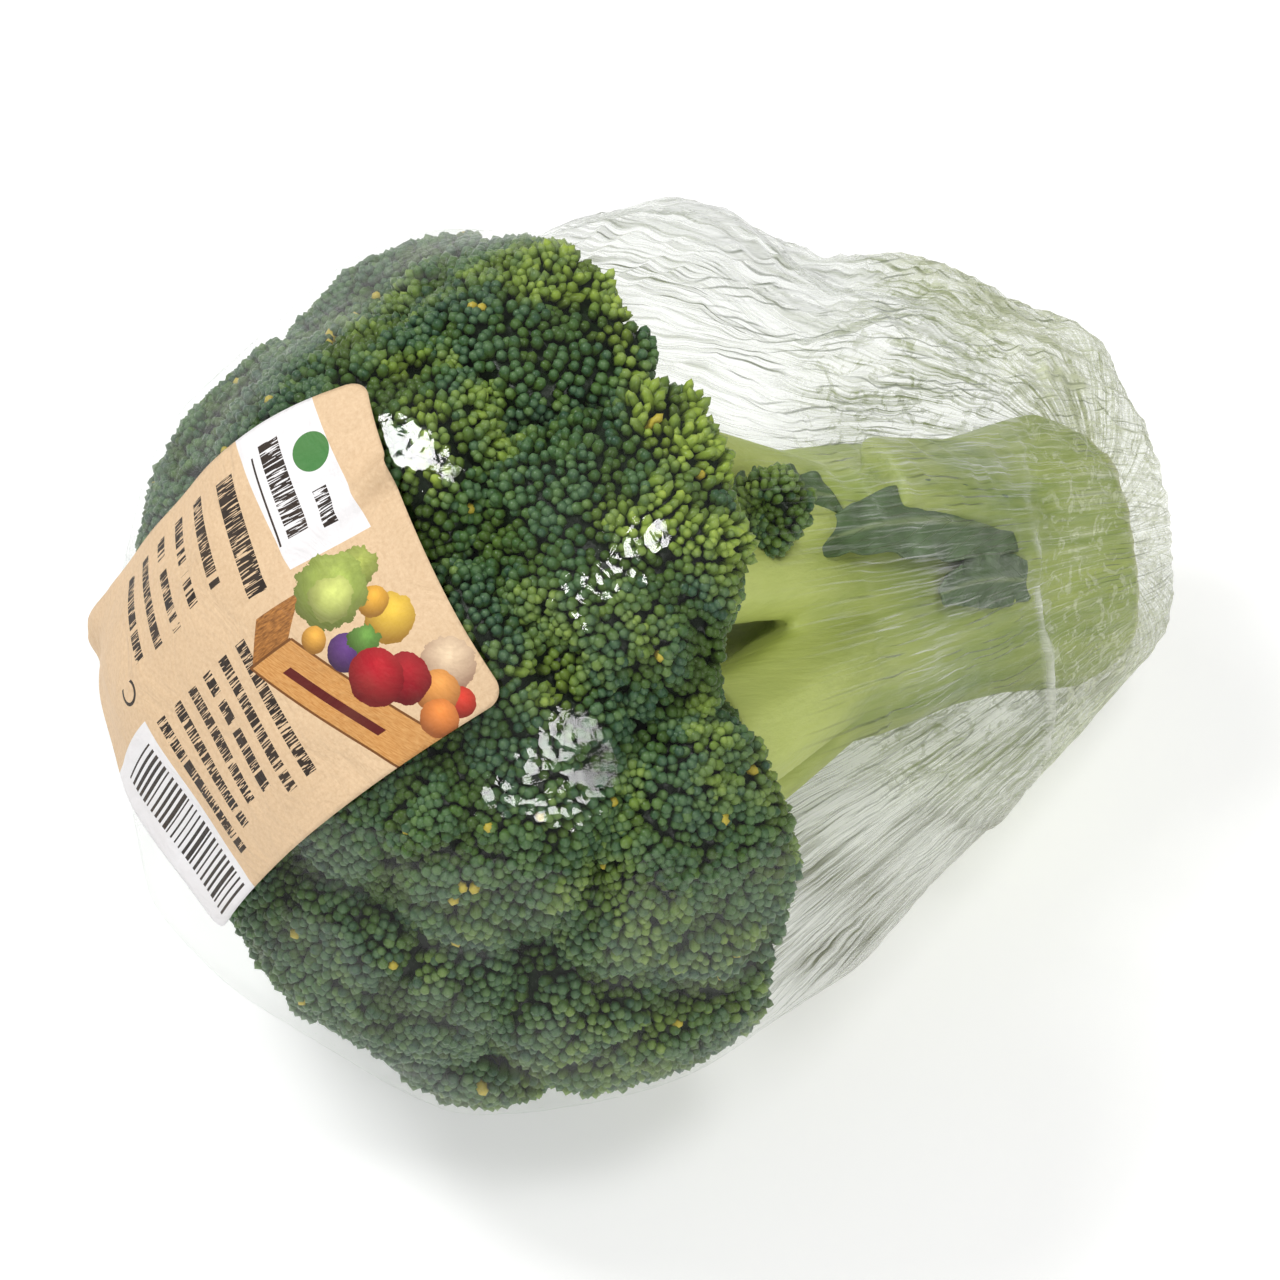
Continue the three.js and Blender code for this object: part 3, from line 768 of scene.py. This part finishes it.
def on_skin(table, ways):
    """Values of a grid of directions at other directions, from the four grid points around each."""
    i = np.arccos(np.clip(ways[:, 2], -1, 1)) / np.pi * (SKIN_ROWS - 1)
    j = (np.arctan2(ways[:, 1], ways[:, 0]) / (2 * np.pi) % 1) * SKIN_COLUMNS
    i0, j0 = np.minimum(i.astype(int), SKIN_ROWS - 2), j.astype(int) % SKIN_COLUMNS
    di, dj = (i - i0)[:, None], (j - np.floor(j))[:, None]
    j1 = (j0 + 1) % SKIN_COLUMNS
    above = table[i0, j0] * (1 - dj) + table[i0, j1] * dj
    below = table[i0 + 1, j0] * (1 - dj) + table[i0 + 1, j1] * dj
    return above * (1 - di) + below * di


def knobbly(points, normal, centre, radial, buds, salt):
    """Raises knobs and tufts: round caps, sqrt(1 - (d/R)^2) of the distance to the nearest middle."""
    away = np.linalg.norm(points - centre, axis=1)
    radius = np.median(away)
    lean = unit(0.35 * unit(points - centre) + 0.35 * normal + 0.3 * radial)
    unshaded = np.ones(len(points))
    for width, rise, seed in ((buds.knob, buds.knob_rise, 1.7), (buds.tuft, buds.tuft_rise, 4.1)):
        count = int(4 * np.pi * radius ** 2 / (0.8 * width ** 2)) + 2
        rng = np.random.default_rng(int(salt * 100 + seed * 10))
        heads = unit(spread(count, seed + salt) + rng.normal(size=(count, 3)) * 0.18 * width / radius)
        seats = unit(points - centre)
        near = (seats @ heads.T).argmax(1)
        off = (seats - heads[near]) * radius
        d = np.linalg.norm(off, axis=1) / (width * 0.58)
        cap = np.sqrt(np.maximum(1 - np.minimum(d, 0.98) ** 2, 0)) - 0.75
        lift = rng.uniform(0.5, 1.35, count)[near]
        points = points + lean * (rise * cap * lift)[:, None]
        lean = unit(lean + off / (width * 0.58) * 0.45)
        # 1 on the caps, 0 in the valleys between them, where the buds are later painted in shade.
        unshaded *= step(-0.75, 0.1, cap)
    return points, lean, unshaded


class BROCCOLI_OT_florets(bpy.types.Operator):
    """Florets: a knobbly core set all over with small buds"""

    bl_idname = "broccoli.florets"
    bl_label = "Florets"

    def execute(self, context):
        plant, buds = context.scene.broccoli_plant, context.scene.broccoli_buds
        finish = bud_finish(buds)
        crown = lay_down(np.array([0, 0, plant.crown_height]), plant)
        axis = plant_axes(plant)[2]
        pattern, pattern_faces = bud_pattern()
        cover = flats(triangles("film_wrap"), crown)
        for number, node in enumerate(FLORET_NODES):
            rng = np.random.default_rng(number + 11)
            low, high = (np.array(c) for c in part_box(node))
            centre = (low + high) / 2
            small = np.linalg.norm(high - low) < SMALL_FLORET
            skin, normals = floret_skin(node, centre, crown, plant, buds)
            # The core: the knobbly skin itself, sunk below the buds.
            flat, out = (g[1:-1].reshape(-1, 3) for g in (skin, normals))
            flat = np.concatenate([flat, skin[:1, 0], skin[-1:, 0]])
            out = np.concatenate([out, normals[:1, 0], normals[-1:, 0]])
            core, lean, _ = knobbly(flat, out, centre, unit(flat - crown), buds, number)
            away = unit(core - crown)
            far = np.minimum(np.linalg.norm(core - crown, axis=1), reach(*cover, crown, away) - BUD_COVER)
            core = crown + away * far[:, None] - lean * (buds.tall * 0.66)
            n = (SKIN_ROWS - 2) * SKIN_COLUMNS
            faces = [grid_faces(SKIN_ROWS - 2, SKIN_COLUMNS, True)[:, ::-1],
                     fan_faces(n, 0, SKIN_COLUMNS),
                     fan_faces(n + 1, n - SKIN_COLUMNS, SKIN_COLUMNS, True)]
            # The core is painted in the shade colour of the gaps between buds, less so on its underside,
            # which is yellow-green.
            under = 1 - step(-0.35, 0.1, (unit(core - crown) * out).sum(1))
            marks = np.stack([0.1 + 0.5 * under, np.full(len(core), 0.5), under], -1)
            # Buds, where the face looks out of the crown.
            size = float(np.linalg.norm(high - low)) / 2 / 3 ** 0.5 * 1.08  # radius of a like ball
            count = int(4 * np.pi * size ** 2 / (0.866 * buds.spacing ** 2) * 1.12)
            ways = unit(spread(count, number) + rng.normal(size=(count, 3)) * 0.16 * buds.spacing / size)
            seat, out = on_skin(skin, ways), unit(on_skin(normals, ways))
            radial = unit(seat - crown)
            facing = (out * radial).sum(1)
            seat, lean, unshaded = knobbly(seat, out, centre, radial, buds, number)
            radial, depth = unit(seat - crown), np.linalg.norm(seat - crown, axis=1)
            seat = crown + radial * np.minimum(depth, reach(*cover, crown, radial) - BUD_COVER)[:, None]
            keep = (facing > (-2 if small else 0.02)) & (seat[:, 2] > FLOOR_GAP)
            seat, lean, radial, unshaded = seat[keep], lean[keep], radial[keep], unshaded[keep]
            count = len(seat)
            # Yellowing: towards the rim of the crown and in loose patches.
            down = -(radial @ axis)
            patch = waves(seat, 0.03, 5) * 0.5 + waves(seat, 0.011, 6) * 0.4
            here = stand_up(seat, plant)
            turn = np.degrees(np.arctan2(here[:, 1], here[:, 0]))
            sunny = np.exp(-(((turn + 8 + 180) % 360 - 180) / 44) ** 2)
            age = step(-0.55, 0.20, down + patch * 0.70) * step(-0.25, 0.35, patch + 0.1)
            age *= 0.3 + 0.7 * sunny
            if node == "floret_16":
                age = 0.2 + 0.3 * age
            sway = np.clip(rng.normal(size=(count, 3)), -1.5, 1.5)
            lean = unit(lean + sway * (0.13 + 0.2 * age[:, None]))
            side = unit(np.cross(lean, np.where(np.abs(lean[:, :1]) > 0.8, [0, 1.0, 0], [1.0, 0, 0])))
            other = np.cross(lean, side)
            scale = rng.uniform(0.84, 1.16, (count, 1)) * (0.85 if small else 1.0)
            tall = buds.tall * 0.8 * scale * (1 + 0.45 * age[:, None])
            wide = buds.radius * scale * (1 - 0.12 * age[:, None])
            seat = seat - lean * (buds.tall * 0.42 + rng.uniform(-0.0004, 0.0005, (count, 1)))
            p = pattern[None]
            shape = (seat[:, None] + p[..., :1] * (side * wide)[:, None]
                     + p[..., 1:2] * (other * wide)[:, None] + p[..., 2:] * (lean * tall)[:, None])
            luck = rng.uniform(0, 1, count)
            # Up each bud, lowered in the valleys: this places the painted shade and the painted
            # highlight.
            height_and_shade = (pattern[None, :, 2] + 1) / 1.6 * (0.5 + 0.5 * unshaded[:, None])
            bud_marks = np.stack(np.broadcast_arrays(height_and_shade, luck[:, None], age[:, None]), -1)
            first = len(core) + np.arange(count)[:, None, None] * len(pattern)
            faces += [(f[None] + first).reshape(-1, f.shape[1]) for f in pattern_faces]
            make_piece(
                f"{node}_buds", np.concatenate([core, shape.reshape(-1, 3)]), faces, finish,
                [node], marks={"bud": np.concatenate([marks, bud_marks.reshape(-1, 3)])})
        return {"FINISHED"}


LEAVES = {  # degrees round the stalk, then metres: from, length, width, lift at the middle and tip
    "leaf_1": (-17, 0.021, 0.037, 0.0120, 0.0034, 0.0058),
    "leaf_2": (-41, 0.020, 0.018, 0.0085, 0.0018, 0.0026),
    "leaf_3": (3, 0.050, 0.017, 0.0105, 0.0056, 0.0104),
}


class BROCCOLI_OT_leaves(bpy.types.Operator):
    """Small leaves that hug the stalk"""

    bl_idname = "broccoli.leaves"
    bl_label = "Leaves"

    def execute(self, context):
        """Blade: along t and across w, a strip laid round the stalk whose edges ripple with w squared."""
        plant = context.scene.broccoli_plant
        finish = leaf_finish(plant)
        stalk = stand_up(triangles("main_stalk").reshape(-1, 3), plant).reshape(-1, 3, 3)
        rows, columns = 60, 21
        t, w = (g.ravel() for g in np.meshgrid(
            np.linspace(0, 1, rows), np.linspace(-1, 1, columns), indexing="ij"))
        for number, (node, (turn, low, long, width, lift, tip)) in enumerate(LEAVES.items()):
            height = low + long * t
            half = width / 2 * (0.5 + 0.5 * np.sin(np.pi * np.clip(0.12 + t, 0, 1))) * np.sqrt(
                np.clip((1.02 - t) * 12, 0, 1))
            axis = np.stack([0 * t, 0 * t, height], -1)
            ring = cast(stalk, axis, aim(np.full_like(t, np.pi / 2), np.radians(turn) + 0 * t))
            ring = np.where(ring > 0, ring, 0.018)
            ripple = np.sin(t * 31 + number * 2 + w * 1.3) * 0.0009 * w ** 2 + waves(
                np.stack([t * 0.03, w * 0.01, 0 * t + number], -1), 0.02, 9) * 0.0006
            rise = lift * 0.35 + (lift * 2.6 - tip * 0.6) * t * (1 - t) + tip * t * t
            out = ring + rise + ripple + 0.0004 * w ** 2
            where = np.radians(turn) + 0.07 * np.sin(2.5 * t) + w * half / out
            points = lay_down(aim(np.full_like(t, np.pi / 2), where) * out[:, None] + axis, plant)
            faces = grid_faces(rows, columns)[:, ::-1]
            uv = np.stack([t, (w + 1) / 2], -1)[faces.ravel()]
            piece = make_piece(node + "_blade", points, [faces], finish, [node], uv=uv)
            wall = piece.modifiers.new("blade", "SOLIDIFY")
            wall.thickness, wall.offset = 0.0005, 0
        return {"FINISHED"}


def film_shape(plant, rows, columns):
    """The film as a closed skin about the plant's axis: rays in rows, and how far along each it is.

    Rays leave the axis, first swinging from the crown's top to its side, then stepping down the
    neck, then swinging under the cut end. Each meets the flats of the CAD film; the creases between
    flats are averaged away; folds, pleats and wrinkles are added along the ray later.
    """
    v = np.linspace(0, 1, rows)
    drop = plant.crown_height + 0.0015
    swing = np.interp(v, [0, 0.40, 0.46, 0.86, 1], np.radians([0.6, 84, 96, 104, 179.2]))
    seat = np.interp(v, [0, 0.38, 0.86, 1], [0, 0.0, drop * 0.93, drop])
    turn = np.arange(columns) / columns * 2 * np.pi + np.pi
    tilt, round_ = np.meshgrid(swing, turn, indexing="ij")
    down = np.repeat(seat[:, None], columns, 1)
    ways = aim(tilt, round_)
    origin = np.stack([0 * down, 0 * down, plant.crown_height - down], -1)
    middle = lay_down(np.array([0, 0, plant.crown_height]), plant)
    normals, at = flats(triangles("film_wrap"), middle)
    turned = ways.reshape(-1, 3) @ plant_axes(plant)
    far = reach(normals, at, lay_down(origin.reshape(-1, 3), plant), turned).reshape(rows, columns)
    far = even(far, 26)
    far[0], far[-1] = far[0].mean(), far[-1].mean()
    return v, round_, origin, ways, far


def bud_depth(ways):
    """How far the buds reach from the crown's middle in each direction: the most in each small cell."""
    meshes = [bpy.data.objects[n + "_buds"].data for n in FLORET_NODES]
    parts = [np.empty(len(m.vertices) * 3, dtype=np.float32) for m in meshes]
    for mesh, part in zip(meshes, parts):
        mesh.vertices.foreach_get("co", part)
    plant = bpy.context.scene.broccoli_plant
    off = np.concatenate(parts).reshape(-1, 3) - lay_down(np.array([0, 0, plant.crown_height]), plant)
    rows, columns = 90, 180

    def cell(v):
        i = np.arccos(np.clip(unit(v)[:, 2], -1, 1)) / np.pi * rows
        j = (np.arctan2(v[:, 1], v[:, 0]) / (2 * np.pi) % 1) * columns
        return np.minimum(i.astype(int), rows - 1) * columns + j.astype(int) % columns

    depth = np.zeros(rows * columns)
    np.maximum.at(depth, cell(off), np.linalg.norm(off, axis=1))
    return even(depth.reshape(rows, columns), 2).ravel()[cell(ways)]


FILM_ROWS = 288
DRAWN_VEIL = 0.55  # the veil that the milkiness below is written for


class BROCCOLI_OT_film(bpy.types.Operator):
    """Clear film, tight on the crown, loose and pleated over the neck and gathered at the end"""

    bl_idname = "broccoli.film"
    bl_label = "Film"

    def execute(self, context):
        """Each ray of film_shape is lengthened by pleats, wrinkles and a fold, and shortened by slack."""
        plant, film = context.scene.broccoli_plant, context.scene.broccoli_film
        rows, columns = FILM_ROWS, film.around
        v, turn, origin, ways, far = film_shape(plant, rows, columns)
        points = origin + ways * far[..., None]
        s = plant.crown_height - points[..., 2]  # below the crown's middle
        about = np.degrees(np.arctan2(points[..., 1], points[..., 0]))

        # Turns are in degrees about the axis, 0 uppermost; lengths are in metres down from the crown.
        def near(turn_degrees, width):
            """1 at a turn about the axis, falling off as a bell of that width in degrees."""
            d = (about - turn_degrees + 180) % 360 - 180
            return np.exp(-(d / width) ** 2)

        neck = step(0.0, 0.024, s)
        tail = step(0.060, 0.080, s)
        loose = neck * (0.35 + 0.65 * near(48, 62)) * (1 - 0.5 * near(-120, 50))
        # Loose film sinks between its folds, most in two hollows on the upper side.
        lobes = waves(points, 0.042, 21) * 0.5 + waves(points * [1, 1, 0.45], 0.02, 22) * 0.45
        sink = film.slack * loose * np.clip(0.45 - lobes, 0, 1.3)
        sink += 0.005 * neck * near(62, 30) * np.exp(-((s - 0.055) / 0.012) ** 2)
        sink += 0.004 * near(50, 26) * np.exp(-((s - 0.006) / 0.007) ** 2)
        # Pleats run along the axis in three sizes; a wrinkle is a sharp ridge of a random field.
        phase = waves(points * [0.35, 0.35, 1], 0.05, 23) * 1.2
        pleats = (np.abs(np.sin(turn * 19 + phase * 2)) * 0.5
                  + np.abs(np.sin(turn * 43 + phase * 3)) * 0.3
                  + np.abs(np.sin(turn * 77 - phase * 3)) * 0.2)
        height = film.pleat * (0.18 * neck + 0.38 * tail) * pleats * (0.5 + 0.5 * loose)
        crinkle = 1 - np.abs(waves(points, 0.0075, 24)) * 1.6
        height += film.wrinkle * crinkle * (0.1 * (1 - neck) + 1.3 * loose)
        # One raised fold crosses the neck.
        bend = 0.0015 * waves(points, 0.03, 25) + 0.0007 * waves(points, 0.008, 28)
        fold = np.exp(-((s - 0.0620 - bend) / 0.0011) ** 2) * near(-68, 44)
        height += fold * 0.0012
        move = height - sink - film.pleat * 0.5 * neck
        points = points + ways * np.minimum(move, 0.0002 + 0.0015 * loose)[..., None]
        middle = lay_down(np.array([0, 0, plant.crown_height]), plant)
        where = lay_down(points.reshape(-1, 3), plant)
        where[:, 2] = np.maximum(where[:, 2], 0.0001)
        # Painted on: milkiness, film over the neck, touch on the buds; the stalk's green light painted at
        # the end, painted shade on the lower side, the fold.
        clear = 0.022 - 0.013 * near(52, 60)
        milk = 0.05 + 0.42 * near(52, 52) + 0.15 * near(175, 70) + 0.5 * near(-122, 40)
        milk = step(clear - 0.003, clear + 0.010, s) * milk
        milk += 0.2 * tail
        milk = milk * (1 + 0.35 * waves(points, 0.02, 26)) * film.veil / DRAWN_VEIL
        # The end, where the stalk's green light is painted onto the film.
        end = step(0.058, 0.068, s)
        ridge = fold * np.clip(0.65 + 0.45 * waves(points, 0.006, 27), 0, 1)
        # Painted shade on the loose film's lower side.
        painted_lower_shade = neck * near(-120, 48) * (1 - end)
        gap = np.linalg.norm(where.reshape(rows, columns, 3) - middle, axis=-1)
        gap -= bud_depth(where.reshape(-1, 3) - middle).reshape(rows, columns)
        marks = np.stack([np.clip(milk, 0, 1), neck, 1 - step(0.0010, 0.0034, gap)], -1)
        tint = np.stack([end, painted_lower_shade, np.clip(ridge, 0, 1)], -1)
        faces = grid_faces(rows, columns, True)[:, ::-1]
        j = np.arange(columns)
        corner = np.stack([j, j + 1, j + 1, j], -1)[None, :, ::-1] / columns
        uu = np.broadcast_to(corner, (rows - 1, columns, 4)).reshape(-1)
        vv = v[faces // columns].reshape(-1)
        top, bottom = rows * columns, rows * columns + 1
        ends = np.stack([where[:columns].mean(0), where[-columns:].mean(0)])
        caps = [fan_faces(top, 0, columns), fan_faces(bottom, (rows - 1) * columns, columns, True)]
        cap_uv = [np.tile(np.stack([[0.5, k], [0, k], [0, k]]), (columns, 1)) for k in (0.0, 1.0)]
        uv = np.concatenate([np.stack([uu, vv], -1), *cap_uv])
        marks, tint = (np.concatenate([m.reshape(-1, 3), m[0, :1], m[-1, :1]]) for m in (marks, tint))
        make_piece("film", np.concatenate([where, ends]), [faces, *caps], film_finish(film),
                   ["film_wrap"], uv=uv, marks={"film": marks, "film tint": tint})
        return {"FINISHED"}


class BROCCOLI_OT_label(bpy.types.Operator):
    """Paper label stuck over the crown"""

    bl_idname = "broccoli.label"
    bl_label = "Label"

    def execute(self, context):
        """Paper (a, b) lies at angle |(a, b)| / radius from the label's middle, just off the film."""
        plant, label = context.scene.broccoli_plant, context.scene.broccoli_label
        columns, rows = 79, 105
        wide, tall = label.size
        b, a = (g.ravel() for g in np.meshgrid(
            np.linspace(0, tall, rows), np.linspace(0, wide, columns), indexing="ij"))
        # Round corners: a point within the corner square is drawn onto the arc.
        dx = np.maximum(np.abs(a - wide / 2) - (wide / 2 - label.corner), 0)
        dy = np.maximum(np.abs(b - tall / 2) - (tall / 2 - label.corner), 0)
        big = np.maximum(dx, dy)
        pull = np.where(big > 0, big / np.maximum(np.hypot(dx, dy), 1e-9), 1)
        px = a - np.sign(a - wide / 2) * dx * (1 - pull)
        py = b - np.sign(b - tall / 2) * dy * (1 - pull)
        middle = aim(np.array(label.tilt), np.array(label.turn))
        down = unit(np.array([0, 0, 1.0]) - middle * middle[2])
        c, s = math.cos(label.spin), math.sin(label.spin)
        down = down * c + np.cross(middle, down) * s
        across = np.cross(middle, down)
        ax, ay = px - wide / 2, py - tall / 2
        radius = plant.crown_radius + 0.0005
        arc = np.hypot(ax, ay) / radius
        k = np.sinc(arc / np.pi) / radius
        ways = middle * np.cos(arc)[:, None] + across * (ax * k)[:, None] + down * (ay * k)[:, None]
        crown = lay_down(np.array([0, 0, plant.crown_height]), plant)
        normals, at = flats(triangles("film_wrap"), crown)
        far = reach(normals, at, crown, ways @ plant_axes(plant)).reshape(rows, columns)
        far = even(far, 60, closed=False).ravel() + PAPER_COVER
        kink = np.exp(-((a - 0.0150 - 0.22 * b) / 0.0016) ** 2) * np.exp(-b / 0.010)
        flap = step(0.058, 0.068, b) * step(0.006, 0.001, a)
        curl = step(0.004, 0.0, np.minimum(np.minimum(a, wide - a), np.minimum(b, tall - b)))
        far += 0.0022 * kink + 0.0022 * flap + 0.0003 * curl
        far += waves(np.stack([a, b, 0 * a], -1), 0.022, 31) * 0.00028
        points = lay_down(ways * far[:, None] + [0, 0, plant.crown_height], plant)
        faces = grid_faces(rows, columns)[:, ::-1]
        uv = np.stack([a / wide, b / tall], -1)[faces.ravel()]
        piece = make_piece("label", points, [faces], label_finish(label), ["paper_label"], uv=uv)
        wall = piece.modifiers.new("paper", "SOLIDIFY")
        wall.thickness, wall.offset = label.thickness, 0
        return {"FINISHED"}


LAMPS = (  # name, direction from the crown, side in metres, watts
    ("key", (-0.34, 0.44, 0.83), 0.25, 4.4),
    ("top", (0.14, -0.22, 0.96), 0.18, 1.9),
    ("front", (-0.16, -0.80, 0.58), 0.22, 1.9),
)
LAMP_DISTANCE = 0.9
ROOM_LIGHT = 0.32
SENSOR, FRAME = 36, 1280  # millimetres and steps across the picture
CROWN_AT = (-90, -10)  # the crown's middle, in steps right of and above the picture's middle


class BROCCOLI_OT_studio(bpy.types.Operator):
    """Pale floor, soft lights and the camera"""

    bl_idname = "broccoli.studio"
    bl_label = "Studio"

    def execute(self, context):
        scene, studio, plant = context.scene, context.scene.broccoli_studio, context.scene.broccoli_plant
        f = Finish("pale floor")
        speck = f.noise(f.place(), 40, 3)
        tint = f.blend(speck, rgb(studio.floor), rgb(studio.floor, 0.985))
        paper = f.done(f.skin(Base_Color=tint, Roughness=0.9, Specular_IOR_Level=0.1,
                              Emission_Color=(1.0, 1.0, 1.0), Emission_Strength=0.28))
        mesh = bpy.data.meshes.new("floor")
        mesh.from_pydata([(-4, -4, 0), (4, -4, 0), (4, 4, 0), (-4, 4, 0)], [], [(0, 1, 2, 3)])
        mesh.materials.append(paper)
        floor = bpy.data.objects.new("floor", mesh)
        scene.collection.objects.link(floor)
        world = bpy.data.worlds.new("white room")
        world.use_nodes = True
        world.node_tree.nodes["Background"].inputs[0].default_value = (1, 1, 1, 1)
        world.node_tree.nodes["Background"].inputs[1].default_value = ROOM_LIGHT
        scene.world = world
        crown = Vector(lay_down(np.array([0, 0, plant.crown_height]), plant))
        for name, direction, size, power in LAMPS:
            lamp = bpy.data.lights.new(name, "AREA")
            lamp.shape, lamp.size, lamp.energy = "SQUARE", size, power
            holder = bpy.data.objects.new(name, lamp)
            way = Vector(direction).normalized()
            holder.location = crown + way * LAMP_DISTANCE
            holder.rotation_euler = way.to_track_quat("Z", "Y").to_euler()
            scene.collection.objects.link(holder)
        camera = bpy.data.objects.new("camera", bpy.data.cameras.new("camera"))
        camera.data.lens, camera.data.sensor_width = studio.lens, SENSOR
        az, el = studio.azimuth, studio.elevation
        right = Vector((math.cos(az), math.sin(az), 0))
        back = Vector((math.sin(az) * math.cos(el), -math.cos(az) * math.cos(el), math.sin(el)))
        up = back.cross(right)
        step_size = studio.distance * SENSOR / studio.lens / FRAME
        shift = (right * CROWN_AT[0] + up * CROWN_AT[1]) * step_size
        camera.location = crown + back * studio.distance - shift
        camera.rotation_euler = back.to_track_quat("Z", "Y").to_euler()
        camera.data.clip_start, camera.data.clip_end = 0.01, 20
        scene.collection.objects.link(camera)
        scene.camera = camera
        scene.view_settings.view_transform = "Standard"
        return {"FINISHED"}


class BROCCOLI_PT_panel(bpy.types.Panel):
    """Buttons for each piece"""

    bl_label = "Broccoli"
    bl_idname = "BROCCOLI_PT_panel"
    bl_space_type = "VIEW_3D"
    bl_region_type = "UI"
    bl_category = "Broccoli"

    def draw(self, context):
        for name in MAKE_ORDER:
            self.layout.operator("broccoli." + name)
        for key in SIZES:
            group = getattr(context.scene, key)
            for prop in group.__annotations__:
                self.layout.prop(group, prop)


MAKE_ORDER = ("stems", "florets", "leaves", "film", "label", "studio")
SIZES = {
    "broccoli_plant": PlantSizes, "broccoli_buds": BudSizes, "broccoli_film": FilmSizes,
    "broccoli_label": LabelSizes, "broccoli_studio": StudioSizes,
}
CLASSES = (
    *SIZES.values(), BROCCOLI_OT_stems, BROCCOLI_OT_florets, BROCCOLI_OT_leaves, BROCCOLI_OT_film,
    BROCCOLI_OT_label, BROCCOLI_OT_studio, BROCCOLI_PT_panel,
)


def register():
    for cls in CLASSES:
        bpy.utils.register_class(cls)
    for key, cls in SIZES.items():
        setattr(bpy.types.Scene, key, PointerProperty(type=cls))


def unregister():
    for key in SIZES:
        delattr(bpy.types.Scene, key)
    for cls in reversed(CLASSES):
        bpy.utils.unregister_class(cls)


def main():
    register()
    for name in MAKE_ORDER:
        getattr(bpy.ops.broccoli, name)()


if __name__ == "__main__":
    main()
